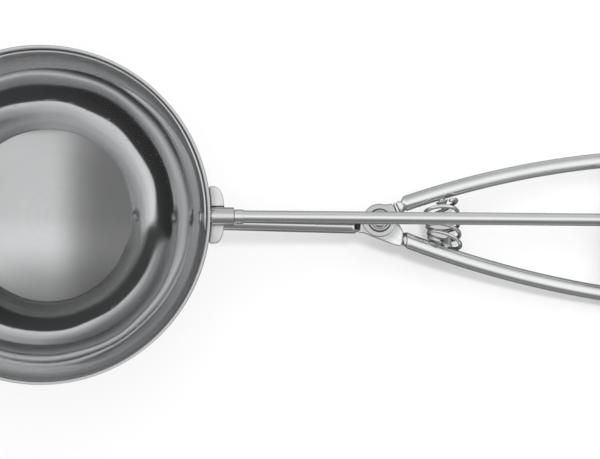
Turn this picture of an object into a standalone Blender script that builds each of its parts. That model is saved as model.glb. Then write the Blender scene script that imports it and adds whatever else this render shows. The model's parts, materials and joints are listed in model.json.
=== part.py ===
"""Ice cream scoop with two squeeze handles and a wiper blade that sweeps the bowl.

Working frame: the origin is the centre of the bowl's sphere, +X runs along the wiper shaft
to the handles, +Z points out of the bowl's mouth. The empty rest_frame tilts that frame to
the pose in which the scoop lies on a table, on its bowl and on both handle tips.
"""

import math

import bmesh
import bpy
import numpy as np
from mathutils import Vector

MM = 0.001
GAP = 0.3 * MM  # what touching pieces keep between them

# Bowl: a third of a litre
BOWL_R = 54.2 * MM  # inside
BOWL_WALL = 1.0 * MM
BOWL_SKIRT = 4.0 * MM  # straight rim above the sphere's centre
LIP_ROUND = 0.15 * MM

# Wiper blade
BLADE_T = 0.6 * MM
BLADE_CLEARANCE = 0.3 * MM
BLADE_W = 20.0 * MM
BLADE_EYE_R = 4.5 * MM
BLADE_TAPER = 26.0 * MM  # along the arc, from the full width to the eye
BLADE_REST_DEG = 12.5  # how far below the rim side the blade rests
PIVOT_HEAD_R = 2.4 * MM
BLADE_WASHER_R = 3.1 * MM
BLADE_WASHER_T = 0.5 * MM

# Wiper shaft and its ferrule on the bowl
SHAFT_R = 2.05 * MM
TENON_R = 1.3 * MM
COLLAR_R = 2.35 * MM
COLLAR_LENGTH = 2.8 * MM
FERRULE_R = 3.0 * MM
FERRULE_LENGTH = 7.2 * MM
NOSE_PIN_R = 1.5 * MM
NOSE_HEAD_R = 3.5 * MM
HEAD_T = 1.1 * MM

# Saddle bracket welded to the bowl
SADDLE_HALF_WIDTH = 9.4 * MM
SADDLE_REACH = 4.0 * MM
SADDLE_Y = 0.5 * MM  # its middle, off the shaft's axis
SADDLE_PLATE_T = 2.2 * MM
SADDLE_FLANGE_T = 1.6 * MM
SADDLE_DROP_DEG = 18.0  # how far the flange follows the bowl down

# Handles
ROD_R = 2.5 * MM
HANDLE_Z = -8.3 * MM  # the rods' height below the shaft's axis
HANDLE_END_X = 235.0 * MM
NECK_Y = -2.7 * MM  # the fixed rod at the pivot
BOWL_END_Y = -1.9 * MM  # the fixed rod at the bowl
FIXED_ARC_R = 331.0 * MM
FIXED_ARC_X = 234.8 * MM  # where the grip's arc runs parallel to the shaft
FIXED_ARC_Y = -28.0 * MM
SQUEEZE_ARC_R = 286.8 * MM
SQUEEZE_ARC_X = 214.4 * MM
SQUEEZE_ARC_Y = 21.2 * MM

# Pivot
PIVOT_X = 110.4 * MM
PIVOT_Y = -0.78 * MM
EYE_R = 5.5 * MM
RIVET_R = 2.0 * MM
RIVET_HEAD_R = 3.55 * MM
WASHER_T = 0.4 * MM

# Return spring and its pegs
SPRING_X = 130.0 * MM  # at the squeeze rod
SPRING_LEAN = 1.6 * MM  # how much nearer the grip the coil stands at the fixed rod
SPRING_R = 5.2 * MM  # to the middle of the wire
WIRE_R = 0.65 * MM
SPRING_TURNS = 4.85
SPRING_POINTS = 10  # on each turn
PEG_R = 2.0 * MM
PEG_TENON_R = 1.0 * MM
PEG_LENGTH = 3.5 * MM

# Rack and pinion behind the grip
GEAR_X = 191.6 * MM
GEAR_MODULE = 0.7 * MM
PINION_TEETH = 12
PRESSURE_DEG = 25.0
TOOTH_PLAY = 0.15 * MM  # taken off each tooth at the pitch line
PINION_ADDENDUM = 0.65 * MM
RACK_ADDENDUM = 0.6 * MM
TOOTH_ROOT = 0.9 * MM
ROOT_FLARE_DEG = 2.0  # how much wider a pinion tooth is at its root than at its base circle
PINION_FACE = 4.4 * MM
HUB_R = 3.1 * MM
HUB_LENGTH = 3.2 * MM
PIN_R = 0.5 * MM
RACK_WIDTH = 4.8 * MM
RACK_T = 1.0 * MM
RACK_TEETH_BEFORE = 2
RACK_TEETH_AFTER = 7
TAB_WIDTH = 9.2 * MM
STOP_T = 2.0 * MM
SMALL_RIVET_R = 0.8 * MM
SMALL_HEAD_R = 1.5 * MM
SMALL_HEAD_T = 0.8 * MM
RIVET_PITCH = 4.7 * MM

# Bearing cage
CAGE_T = 1.2 * MM
CAGE_HALF_WIDTH = 4.2 * MM
CLIP_T = 0.6 * MM
CLIP_R = 3.5 * MM
CLIP_GROOVE_R = 1.5 * MM
SHAFT_TAIL = 1.2 * MM

# Worked out from the above
BOWL_OUT = BOWL_R + BOWL_WALL
BLADE_OUT = BOWL_R - BLADE_CLEARANCE
BLADE_IN = BLADE_OUT - BLADE_T
BORE_R = SHAFT_R + GAP
SWEEP_DEG = 180.0 - 2.0 * BLADE_REST_DEG
PLATE_T = ROD_R - WASHER_T / 2 - GAP
ROD_TOP = HANDLE_Z + ROD_R
ROD_BOTTOM = HANDLE_Z - ROD_R
FERRULE_X = BOWL_OUT + GAP
COLLAR_X = FERRULE_X + FERRULE_LENGTH + GAP
SADDLE_TOP = -FERRULE_R - GAP
SADDLE_R = BOWL_OUT + GAP
FIXED_ROD_X = SADDLE_R + SADDLE_FLANGE_T + GAP
PINION_R = GEAR_MODULE * PINION_TEETH / 2
RACK_R = GEAR_X - PIVOT_X
RATIO = RACK_R / PINION_R
SQUEEZE_DEG = SWEEP_DEG / RATIO
RACK_TOP = -PINION_R - TOOTH_ROOT
RACK_BOTTOM = RACK_TOP - RACK_T
TAB_SEAT = RACK_BOTTOM - GAP
WEB_TOP = RACK_BOTTOM - GAP
WEB_BOTTOM = WEB_TOP - CAGE_T
CAGE_SEAT = WEB_BOTTOM - GAP
HUB_X = GEAR_X - PINION_FACE / 2 - HUB_LENGTH
CHEEK_NEAR_X = HUB_X - GAP - CAGE_T
CHEEK_FAR_X = GEAR_X + RACK_WIDTH / 2 + GAP
CLIP_X = CHEEK_FAR_X + CAGE_T + 2 * GAP
SHAFT_END_X = CLIP_X + CLIP_T + GAP + SHAFT_TAIL
TIP_X = HANDLE_END_X - ROD_R
REST_DEG = math.degrees(
    math.asin((BOWL_OUT - ROD_R) / math.hypot(TIP_X, HANDLE_Z)) - math.atan2(-HANDLE_Z, TIP_X)
)

MATERIALS = {
    "polished": ((0.72, 0.73, 0.74), 0.06),
    "satin": ((0.74, 0.74, 0.74), 0.30),
    "brushed": ((0.66, 0.66, 0.67), 0.22),
    "spring": ((0.70, 0.71, 0.72), 0.12),
    "machined": ((0.62, 0.62, 0.64), 0.28),
}


def clear_scene():
    for obj in list(bpy.data.objects):
        bpy.data.objects.remove(obj)


def steel(name, finish):
    """One steel for one piece: its colour and roughness come from the finish."""
    colour, roughness = MATERIALS[finish]
    material = bpy.data.materials.new(name)
    material.use_nodes = True
    shader = material.node_tree.nodes["Principled BSDF"]
    shader.inputs["Base Color"].default_value = (*colour, 1.0)
    shader.inputs["Roughness"].default_value = roughness
    shader.inputs["Metallic"].default_value = 1.0
    return material


def empty(name, parent=None, at=(0, 0, 0)):
    obj = bpy.data.objects.new(name, None)
    bpy.context.scene.collection.objects.link(obj)
    obj.empty_display_size = 10 * MM
    obj.parent = parent
    obj.location = at
    return obj


def place(name, data, parent, at=(0, 0, 0), turn=(0, 0, 0)):
    """Links an object; at and turn are in the working frame, whatever the parent."""
    obj = bpy.data.objects.new(name, data)
    bpy.context.scene.collection.objects.link(obj)
    obj.parent = parent
    origin = parent.location if parent.parent else Vector()
    obj.location = Vector(at) - origin
    obj.rotation_euler = turn
    return obj


def finish(obj, look, sharp_deg=35.0):
    obj.data.materials.append(steel(obj.name + "_steel", look))
    if obj.type == "MESH":
        obj.data.shade_smooth()
        obj.data.set_sharp_from_angle(angle=math.radians(sharp_deg))
    return obj


def mesh_from(bm, name):
    bmesh.ops.remove_doubles(bm, verts=bm.verts, dist=1e-7)
    bmesh.ops.recalc_face_normals(bm, faces=bm.faces)
    if bm.calc_volume(signed=True) < 0:
        bmesh.ops.reverse_faces(bm, faces=bm.faces)
    mesh = bpy.data.meshes.new(name)
    bm.to_mesh(mesh)
    bm.free()
    return mesh


def turned(name, profile, steps=32, ring=False):
    """A profile of (radius, height) points spun round Z. A ring's profile closes on itself."""
    bm = bmesh.new()
    verts = [bm.verts.new((radius, 0, height)) for radius, height in profile]
    pairs = list(zip(verts, verts[1:]))
    if ring:
        pairs.append((verts[-1], verts[0]))
    edges = [bm.edges.new(pair) for pair in pairs]
    bmesh.ops.spin(
        bm, geom=verts + edges, cent=(0, 0, 0), axis=(0, 0, 1), angle=2 * math.pi,
        steps=steps, use_merge=True,
    )
    return mesh_from(bm, name)


def loft(name, rings, closed=False):
    """Rings of equally many points, joined one to the next and capped, or closed on itself."""
    bm = bmesh.new()
    rows = [[bm.verts.new(tuple(point)) for point in ring] for ring in rings]
    pairs = list(zip(rows, rows[1:]))
    if closed:
        pairs.append((rows[-1], rows[0]))
    for row, following in pairs:
        for i in range(len(row)):
            j = (i + 1) % len(row)
            bm.faces.new((row[i], row[j], following[j], following[i]))
    if not closed:
        bm.faces.new(rows[0])
        bm.faces.new(rows[-1])
    return mesh_from(bm, name)


def prism(name, outline, low, high):
    """An outline of (x, y) points, extruded from low to high along Z."""
    bm = bmesh.new()
    face = bm.faces.new([bm.verts.new((x, y, low)) for x, y in outline])
    raised = bmesh.ops.extrude_face_region(bm, geom=[face])["geom"]
    verts = [item for item in raised if isinstance(item, bmesh.types.BMVert)]
    bmesh.ops.translate(bm, verts=verts, vec=(0, 0, high - low))
    return mesh_from(bm, name)


def combine(obj, other, operation):
    """Adds or cuts another object by an exact Boolean, and hides that object as a guide."""
    other.hide_render = True
    other.display_type = "WIRE"
    modifier = obj.modifiers.new(operation.lower() + "_" + other.name, "BOOLEAN")
    modifier.operation = operation
    modifier.solver = "EXACT"
    modifier.object = other


def drill(obj, name, parent, radius, at, depth, turn=(0, 0, 0), steps=24):
    """Cuts a round hole of this depth, half of it on each side of the point."""
    half = depth / 2
    profile = [(0, half), (radius, half), (radius, -half), (0, -half)]
    combine(obj, place(name, turned(name, profile, steps), parent, at, turn), "DIFFERENCE")


def cylinder_profile(radius, low, high, chamfer=0.15 * MM):
    return [
        (0, high),
        (radius - chamfer, high),
        (radius, high - chamfer),
        (radius, low + chamfer),
        (radius - chamfer, low),
        (0, low),
    ]


def tube_profile(inner, outer, low, high, chamfer=0.12 * MM):
    return [
        (inner, high),
        (outer - chamfer, high),
        (outer, high - chamfer),
        (outer, low + chamfer),
        (outer - chamfer, low),
        (inner, low),
    ]


def rivet_profile(shank_r, head_r, head_t, grip_low, grip_high, tail_r, tail_t):
    """A domed head above grip_high, a shank, and a peened tail below grip_low."""
    rim_t = 0.35 * head_t
    dome = [
        (head_r * math.sin(a), grip_high + rim_t + (head_t - rim_t) * math.cos(a))
        for a in np.linspace(0, math.pi / 2, 7)
    ]
    return dome + [
        (head_r, grip_high),
        (shank_r, grip_high),
        (shank_r, grip_low),
        (tail_r, grip_low),
        (tail_r, grip_low - 0.4 * tail_t),
        (0.6 * tail_r, grip_low - tail_t),
        (0, grip_low - tail_t),
    ]


def along_x():
    """The turn that lays a turned piece's Z along +X."""
    return (0, math.pi / 2, 0)


def curve_through(table, x):
    """A smooth curve through the table's rows, each (x, value, value, ...), read at x."""
    table = np.array(table, float)
    slopes = np.gradient(table[:, 1:], table[:, 0], axis=0)
    i = int(np.clip(np.searchsorted(table[:, 0], x) - 1, 0, len(table) - 2))
    step = table[i + 1, 0] - table[i, 0]
    t = (x - table[i, 0]) / step
    return (
        (1 + 2 * t) * (1 - t) ** 2 * table[i, 1:]
        + t * (1 - t) ** 2 * step * slopes[i]
        + t * t * (3 - 2 * t) * table[i + 1, 1:]
        + t * t * (t - 1) * step * slopes[i + 1]
    )


def fixed_grip_y(x):
    return FIXED_ARC_Y + FIXED_ARC_R - math.sqrt(FIXED_ARC_R**2 - (x - FIXED_ARC_X) ** 2)


def squeeze_grip_y(x):
    return SQUEEZE_ARC_Y - SQUEEZE_ARC_R + math.sqrt(SQUEEZE_ARC_R**2 - (x - SQUEEZE_ARC_X) ** 2)


def grip_slope(grip_y, x):
    step = 0.5 * MM
    return math.atan2(grip_y(x + step) - grip_y(x - step), 2 * step)


def grip_half(grip_y, x):
    """The rod's half width along Y, cut square to X."""
    return ROD_R / math.cos(grip_slope(grip_y, x))


def section(x, upper, lower, top, bottom, squareness, points=16):
    """A closed ring in the plane of this x: an ellipse, or squarer with a higher squareness."""
    angle = 2 * math.pi * (np.arange(points) + 0.5) / points
    power = 2.0 / squareness
    across = np.sign(np.cos(angle)) * np.abs(np.cos(angle)) ** power
    up = np.sign(np.sin(angle)) * np.abs(np.sin(angle)) ** power
    y = (upper + lower) / 2 + (upper - lower) / 2 * across
    z = (top + bottom) / 2 + (top - bottom) / 2 * up
    return np.stack([np.full(points, x), y, z], axis=1)


def tip_rings(grip_y, steps=6):
    """The grip's end, rounded like a ball of the rod's radius."""
    rings = []
    for step in range(1, steps + 1):
        angle = min(step / steps * math.pi / 2, math.radians(86))
        x = TIP_X + ROD_R * math.sin(angle)
        half = grip_half(grip_y, x) * math.cos(angle)
        y = grip_y(x)
        drop = ROD_R * math.cos(angle)
        rings.append(section(x, y + half, y - half, HANDLE_Z + drop, HANDLE_Z - drop, 2.0))
    return rings


def grip_rings(grip_y, start, steps):
    rings = []
    for x in np.linspace(start, TIP_X, steps):
        half = grip_half(grip_y, x)
        y = grip_y(x)
        rings.append(section(x, y + half, y - half, ROD_TOP, ROD_BOTTOM, 2.0))
    return rings + tip_rings(grip_y)


def build_bowl(root):
    """A spun hemisphere with a short straight rim and a rounded lip."""
    arc = np.linspace(0, math.pi / 2, 15)
    outer = [(BOWL_OUT * math.sin(a), -BOWL_OUT * math.cos(a)) for a in arc]
    inner = [(BOWL_R * math.sin(a), -BOWL_R * math.cos(a)) for a in arc[::-1]]
    lip = [
        (BOWL_OUT, BOWL_SKIRT - LIP_ROUND),
        (BOWL_OUT - LIP_ROUND, BOWL_SKIRT),
        (BOWL_R + LIP_ROUND, BOWL_SKIRT),
        (BOWL_R, BOWL_SKIRT - LIP_ROUND),
    ]
    bowl = place("bowl", turned("bowl", outer + lip + inner, 64), root)
    drill(bowl, "bowl_shaft_hole", root, BORE_R, (BOWL_R, 0, 0), 6 * BOWL_WALL, along_x())
    drill(bowl, "bowl_nose_hole", root, NOSE_PIN_R + GAP, (-BOWL_R, 0, 0), 6 * BOWL_WALL, along_x())
    return finish(bowl, "polished", 30)


def build_saddle(root):
    """A plate with rounded corners under the ferrule, on a flange that hugs the bowl."""
    rounding = 2.0 / 3.0
    outer = []
    for a in np.linspace(-math.pi / 2, math.pi / 2, 29):
        y = SADDLE_Y + SADDLE_HALF_WIDTH * math.copysign(abs(math.sin(a)) ** rounding, a)
        reach = SADDLE_REACH * max(math.cos(a), 0.0) ** rounding
        outer.append((math.sqrt(SADDLE_R**2 - y**2) + reach, y))
    low_corner = math.asin((SADDLE_Y - SADDLE_HALF_WIDTH) / SADDLE_R)
    high_corner = math.asin((SADDLE_Y + SADDLE_HALF_WIDTH) / SADDLE_R)
    inner = [
        (SADDLE_R * math.cos(a), SADDLE_R * math.sin(a))
        for a in np.linspace(high_corner, low_corner, 12)[1:-1]
    ]
    plate = prism("bowl_saddle", outer + inner, SADDLE_TOP - SADDLE_PLATE_T, SADDLE_TOP)
    saddle = place("bowl_saddle", plate, root)
    rings = []
    drop = math.radians(SADDLE_DROP_DEG)
    start = math.asin(-SADDLE_TOP / SADDLE_R) + math.radians(0.6)
    for t in np.linspace(0, 1, 10):
        low = start + (drop - start) * t
        middle = (low_corner + high_corner) / 2
        half = (high_corner - low_corner) / 2 * (0.97 - 0.45 * t**3)
        side = np.linspace(middle - half, middle + half, 9)
        out = [
            (r * math.cos(low) * math.cos(a), r * math.cos(low) * math.sin(a), -r * math.sin(low))
            for r, arc in ((SADDLE_R + SADDLE_FLANGE_T, side), (SADDLE_R, side[::-1]))
            for a in arc
        ]
        rings.append(out)
    flange = place("saddle_flange", loft("saddle_flange", rings), root)
    combine(saddle, flange, "UNION")
    return finish(saddle, "satin")


def build_ferrule(root):
    profile = tube_profile(BORE_R, FERRULE_R, 0, FERRULE_LENGTH)
    ferrule = place(
        "shaft_ferrule", turned("shaft_ferrule", profile, 32, ring=True), root,
        (FERRULE_X, 0, 0), along_x(),
    )
    return finish(ferrule, "satin")


def build_nose_pin(root):
    """The rivet opposite the shaft: it carries the blade's far eye."""
    grip_low = BLADE_IN - BLADE_WASHER_T - 2 * GAP
    profile = rivet_profile(
        NOSE_PIN_R, NOSE_HEAD_R, HEAD_T, grip_low, BOWL_OUT + GAP, PIVOT_HEAD_R, HEAD_T
    )
    pin = place("nose_pin", turned("nose_pin", profile, 24), root, (0, 0, 0), (0, -math.pi / 2, 0))
    return finish(pin, "polished")


def blade_washer(name, parent, side):
    """A thin washer between the blade's eye and the peened head, on the side of this sign."""
    low = BLADE_IN - GAP - BLADE_WASHER_T
    inner = (TENON_R if side > 0 else NOSE_PIN_R) + GAP
    profile = tube_profile(inner, BLADE_WASHER_R, low, low + BLADE_WASHER_T, 0.08 * MM)
    washer = place(
        name, turned(name, profile, 28, ring=True), parent, (0, 0, 0), (0, side * math.pi / 2, 0)
    )
    return finish(washer, "machined")


def build_blade(wiper):
    """A strip that hugs the bowl from pole to pole: full width, then tapered to round eyes."""
    quarter = BLADE_OUT * math.pi / 2
    rest = math.radians(BLADE_REST_DEG)
    outward = np.array([0, math.cos(rest), -math.sin(rest)])
    across = np.array([0, math.sin(rest), math.cos(rest)])
    shaft = np.array([1.0, 0, 0])

    def half_width(arc):
        """Half the strip's width at this distance along the arc from its middle."""
        left = quarter - abs(arc)
        if left <= 0:
            return math.sqrt(max(BLADE_EYE_R**2 - left**2, 0.0))
        t = min(left / BLADE_TAPER, 1.0)
        return BLADE_EYE_R + (BLADE_W / 2 - BLADE_EYE_R) * t * t * (3 - 2 * t)

    eye = [quarter + BLADE_EYE_R * math.sin(a) for a in np.radians([18, 36, 54, 70, 82])]
    middle = list(np.linspace(-quarter, quarter, 45))
    rings = []
    for arc in [-a for a in eye[::-1]] + middle + eye:
        angle = arc / BLADE_OUT
        along = math.sin(angle) * shaft + math.cos(angle) * outward
        lean = np.linspace(-1, 1, 5) * half_width(arc) / BLADE_OUT
        ring = [
            radius * (math.cos(a) * along + math.sin(a) * across)
            for radius, side in ((BLADE_OUT, lean), (BLADE_IN, lean[::-1]))
            for a in side
        ]
        rings.append(ring)
    blade = place("wiper_blade", loft("wiper_blade", rings), wiper)
    drill(blade, "blade_shaft_eye", wiper, TENON_R + GAP, (BLADE_IN, 0, 0), 8 * BLADE_T, along_x())
    drill(blade, "blade_nose_eye", wiper, NOSE_PIN_R + GAP, (-BLADE_IN, 0, 0), 8 * BLADE_T, along_x())
    return finish(blade, "brushed")


def build_shaft(wiper):
    """One turned rod: peened head, tenon in the blade, collar, and a groove for the clip."""
    head = BLADE_IN - BLADE_WASHER_T - 2 * GAP
    shoulder = BLADE_OUT + GAP
    chamfer = 0.3 * MM
    profile = [
        (0, head - HEAD_T),
        (0.6 * PIVOT_HEAD_R, head - HEAD_T),
        (PIVOT_HEAD_R, head - 0.4 * HEAD_T),
        (PIVOT_HEAD_R, head),
        (TENON_R, head),
        (TENON_R, shoulder),
        (SHAFT_R, shoulder),
        (SHAFT_R, COLLAR_X),
        (COLLAR_R, COLLAR_X + chamfer / 2),
        (COLLAR_R, COLLAR_X + COLLAR_LENGTH - chamfer / 2),
        (SHAFT_R, COLLAR_X + COLLAR_LENGTH),
        (SHAFT_R, CLIP_X - GAP),
        (CLIP_GROOVE_R, CLIP_X - GAP),
        (CLIP_GROOVE_R, CLIP_X + CLIP_T + GAP),
        (SHAFT_R, CLIP_X + CLIP_T + GAP),
        (SHAFT_R, SHAFT_END_X - chamfer),
        (SHAFT_R - chamfer, SHAFT_END_X),
        (0, SHAFT_END_X),
    ]
    shaft = place("wiper_shaft", turned("wiper_shaft", profile[::-1], 24), wiper, (0, 0, 0), along_x())
    pin_x = HUB_X + HUB_LENGTH / 2
    drill(shaft, "shaft_pin_hole", wiper, PIN_R + GAP, (pin_x, 0, 0), 4 * SHAFT_R, steps=16)
    return finish(shaft, "polished")


def fixed_outline(x):
    """(upper y, lower y, flatness) of the forged handle that is fixed to the bowl."""
    right = PIVOT_X + 10.2 * MM
    half = grip_half(fixed_grip_y, right)
    table = [
        (PIVOT_X - 9.4 * MM, NECK_Y + ROD_R, NECK_Y - ROD_R, 0.0),
        (PIVOT_X - 8.4 * MM, NECK_Y + ROD_R, NECK_Y - ROD_R, 0.0),
        (PIVOT_X - 7.2 * MM, NECK_Y + 1.9 * MM, NECK_Y - 2.0 * MM, 0.75),
        (PIVOT_X - 6.2 * MM, NECK_Y + 2.4 * MM, NECK_Y - 2.2 * MM, 1.0),
        (PIVOT_X - 4.8 * MM, PIVOT_Y + 0.40 * EYE_R, PIVOT_Y - 0.79 * EYE_R, 1.0),
        (PIVOT_X - 2.9 * MM, PIVOT_Y + 0.78 * EYE_R, PIVOT_Y - 0.95 * EYE_R, 1.0),
        (PIVOT_X, PIVOT_Y + 0.93 * EYE_R, PIVOT_Y - 1.13 * EYE_R, 1.0),
        (PIVOT_X + 3.0 * MM, PIVOT_Y + 0.75 * EYE_R, PIVOT_Y - 1.33 * EYE_R, 1.0),
        (PIVOT_X + 5.4 * MM, PIVOT_Y + 0.15 * EYE_R, PIVOT_Y - 1.48 * EYE_R, 1.0),
        (PIVOT_X + 6.9 * MM, PIVOT_Y - 0.32 * EYE_R, PIVOT_Y - 1.53 * EYE_R, 1.0),
        (PIVOT_X + 8.2 * MM, PIVOT_Y - 0.70 * EYE_R, PIVOT_Y - 1.52 * EYE_R, 0.7),
    ]
    for x_end, flatness in ((right - 1.0 * MM, 0.1), (right, 0.0)):
        y = fixed_grip_y(x_end)
        table.append((x_end, y + half, y - half, flatness))
    return curve_through(table, x), table[0][0], right


def flat_section(x, upper, lower, flatness, plate_top, plate_bottom):
    """Between the round rod, at flatness 0, and the forged plate, at flatness 1."""
    f = min(max(flatness, 0.0), 1.0)
    top = ROD_TOP + (plate_top - ROD_TOP) * f
    bottom = ROD_BOTTOM + (plate_bottom - ROD_BOTTOM) * f
    return section(x, upper, lower, top, bottom, 2.0 + 4.5 * f)


def build_fixed_handle(root):
    """Rod from the bowl, forged plate at the pivot and bowed grip, in one forging."""
    _, left, right = fixed_outline(PIVOT_X)
    rings = []
    for x in np.linspace(FIXED_ROD_X, left, 5)[:-1]:
        y = BOWL_END_Y + (NECK_Y - BOWL_END_Y) * (x - FIXED_ROD_X) / (left - FIXED_ROD_X)
        rings.append(section(x, y + ROD_R, y - ROD_R, ROD_TOP, ROD_BOTTOM, 2.0))
    for x in np.linspace(left, right, 27):
        (upper, lower, flatness), _, _ = fixed_outline(x)
        rings.append(flat_section(x, upper, lower, flatness, ROD_BOTTOM + PLATE_T, ROD_BOTTOM))
    rings += grip_rings(fixed_grip_y, right, 22)[1:]
    handle = place("fixed_handle", loft("fixed_handle", rings), root)
    drill(handle, "fixed_pivot_hole", root, RIVET_R + GAP, (PIVOT_X, PIVOT_Y, HANDLE_Z), 5 * ROD_R)
    peg_hole(handle, "fixed_peg_hole", root, fixed_grip_y, 1)
    start, end = CHEEK_NEAR_X - GAP, CHEEK_FAR_X + CAGE_T + GAP
    notch(handle, "cage_seat", root, fixed_grip_y, start, end, CAGE_SEAT)
    rivet_holes(handle, "cage_rivet_hole", root, cage_middle(), fixed_grip_y, HANDLE_Z)
    return finish(handle, "polished")


def squeeze_outline(x):
    """(upper y, lower y, flatness) of the squeeze handle, right of the middle of its eye."""
    right = PIVOT_X + 8.6 * MM
    half = grip_half(squeeze_grip_y, right)
    low = [math.sqrt(1 - share**2) for share in (0.4, 0.75, 0.93)]
    table = [
        (PIVOT_X, PIVOT_Y + EYE_R, PIVOT_Y - EYE_R, 1.0),
        (PIVOT_X + 0.40 * EYE_R, PIVOT_Y + 0.965 * EYE_R, PIVOT_Y - low[0] * EYE_R, 1.0),
        (PIVOT_X + 0.75 * EYE_R, PIVOT_Y + 1.02 * EYE_R, PIVOT_Y - low[1] * EYE_R, 1.0),
        (PIVOT_X + 0.93 * EYE_R, PIVOT_Y + 1.09 * EYE_R, PIVOT_Y - low[2] * EYE_R, 0.95),
        (PIVOT_X + 6.1 * MM, PIVOT_Y + 1.15 * EYE_R, PIVOT_Y + 0.10 * EYE_R, 0.75),
        (PIVOT_X + 7.0 * MM, PIVOT_Y + 1.24 * EYE_R, PIVOT_Y + 0.42 * EYE_R, 0.4),
    ]
    for x_end, flatness in ((right - 0.7 * MM, 0.05), (right, 0.0)):
        y = squeeze_grip_y(x_end)
        table.append((x_end, y + half, y - half, flatness))
    return curve_through(table, x), right


def build_squeeze_handle(lever):
    """Round eye on the pivot, then a bowed grip that mirrors the fixed one."""
    rings = []
    plate = (ROD_TOP, ROD_TOP - PLATE_T)
    for turn in np.radians([8, 20, 34, 48, 62, 76]):
        x = PIVOT_X - EYE_R * math.cos(turn)
        half = EYE_R * math.sin(turn)
        rings.append(flat_section(x, PIVOT_Y + half, PIVOT_Y - half, 1.0, *plate))
    _, right = squeeze_outline(PIVOT_X)
    for x in np.linspace(PIVOT_X, right, 19):
        (upper, lower, flatness), _ = squeeze_outline(x)
        rings.append(flat_section(x, upper, lower, flatness, *plate))
    rings += grip_rings(squeeze_grip_y, right, 24)[1:]
    origin = np.array(lever.location)
    rings = [ring - origin for ring in rings]
    handle = place("squeeze_handle", loft("squeeze_handle", rings), lever, origin)
    drill(handle, "squeeze_pivot_hole", lever, RIVET_R + GAP, (PIVOT_X, PIVOT_Y, HANDLE_Z), 5 * ROD_R)
    peg_hole(handle, "squeeze_peg_hole", lever, squeeze_grip_y, -1)
    xs = [x for x, _ in tab_outline()]
    notch(handle, "rack_seat", lever, squeeze_grip_y, min(xs) - GAP, max(xs) + GAP, TAB_SEAT)
    rivet_holes(handle, "rack_rivet_hole", lever, tab_middle(), squeeze_grip_y, HANDLE_Z)
    return finish(handle, "polished")


def notch(handle, name, parent, grip_y, start, end, seat):
    """A flat across the rod for a plate to sit on."""
    middle = (start + end) / 2
    reach = 3 * ROD_R
    half = (end - start) / 2
    outline = [(-half, -reach), (half, -reach), (half, reach), (-half, reach)]
    cutter = place(name, prism(name, outline, 0, 3 * ROD_R), parent, (middle, grip_y(middle), seat))
    combine(handle, cutter, "DIFFERENCE")


def rivet_places(middle):
    return (middle - RIVET_PITCH / 2, middle + RIVET_PITCH / 2)


def rivet_holes(obj, name, parent, middle, grip_y, height):
    """Holes for the pair of small rivets along the rod, round this height."""
    for i, x in enumerate(rivet_places(middle)):
        place_at = (x, grip_y(x), height)
        drill(obj, f"{name}_{i}", parent, SMALL_RIVET_R + GAP, place_at, 5 * ROD_R, steps=16)


def cage_middle():
    return (CHEEK_NEAR_X + CHEEK_FAR_X + CAGE_T) / 2


def tab_middle():
    xs = [x for x, _ in tab_outline()]
    return (min(xs) + max(xs)) / 2


def spring_middle(share):
    """Where the coil's axis stands along X, from 0 at the fixed rod to 1 at the squeeze rod."""
    return SPRING_X + SPRING_LEAN * (1 - share)


def peg_frame(grip_y, side):
    """The rod's middle at the peg, the peg's axis and its turn; side 1 is the fixed rod."""
    x = spring_middle(0 if side > 0 else 1)
    slope = grip_slope(grip_y, x)
    axis = Vector((-math.sin(slope), math.cos(slope), 0)) * side
    return Vector((x, grip_y(x), HANDLE_Z)), axis, (-side * math.pi / 2, 0, slope)


def peg_hole(handle, name, parent, grip_y, side):
    centre, axis, turn = peg_frame(grip_y, side)
    drill(handle, name, parent, PEG_TENON_R + GAP, centre + axis * ROD_R, 2 * ROD_R + 2 * GAP, turn, 16)


def build_peg(name, parent, grip_y, side):
    """A riveted stud that keeps the coil in place."""
    centre, _, turn = peg_frame(grip_y, side)
    seat = ROD_R + GAP
    profile = [
        (0, seat + PEG_LENGTH),
        (0.55 * PEG_R, seat + PEG_LENGTH),
        (PEG_R, seat + 0.75 * PEG_LENGTH),
        (PEG_R, seat),
        (PEG_TENON_R, seat),
        (PEG_TENON_R, 0),
        (0, 0),
    ]
    return finish(place(name, turned(name, profile, 24), parent, centre, turn), "machined")


def build_pivot(root):
    """The rivet through both plates, and the washer between them."""
    profile = rivet_profile(
        RIVET_R, RIVET_HEAD_R, HEAD_T, ROD_BOTTOM - GAP - HANDLE_Z, ROD_TOP + GAP - HANDLE_Z,
        RIVET_HEAD_R, HEAD_T,
    )
    middle = (PIVOT_X, PIVOT_Y, HANDLE_Z)
    finish(place("pivot_rivet", turned("pivot_rivet", profile, 28), root, middle), "polished")
    ring = tube_profile(RIVET_R + GAP, RIVET_HEAD_R, -WASHER_T / 2, WASHER_T / 2, 0.05 * MM)
    washer = place("pivot_washer", turned("pivot_washer", ring, 32, ring=True), root, middle)
    finish(washer, "satin")


def spring_point(turns):
    """A point on the wire's middle line, this many turns from the fixed rod."""
    angle = 2 * math.pi * turns
    share = turns / SPRING_TURNS
    x = spring_middle(share) + SPRING_R * math.cos(angle)
    z = HANDLE_Z + SPRING_R * math.sin(angle)
    inset = WIRE_R / math.cos(grip_slope(squeeze_grip_y, SPRING_X)) + GAP
    low = fixed_grip_y(x) + grip_half(fixed_grip_y, x) + inset
    high = squeeze_grip_y(x) - grip_half(squeeze_grip_y, x) - inset
    return (x, low + (high - low) * share, z)


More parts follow.
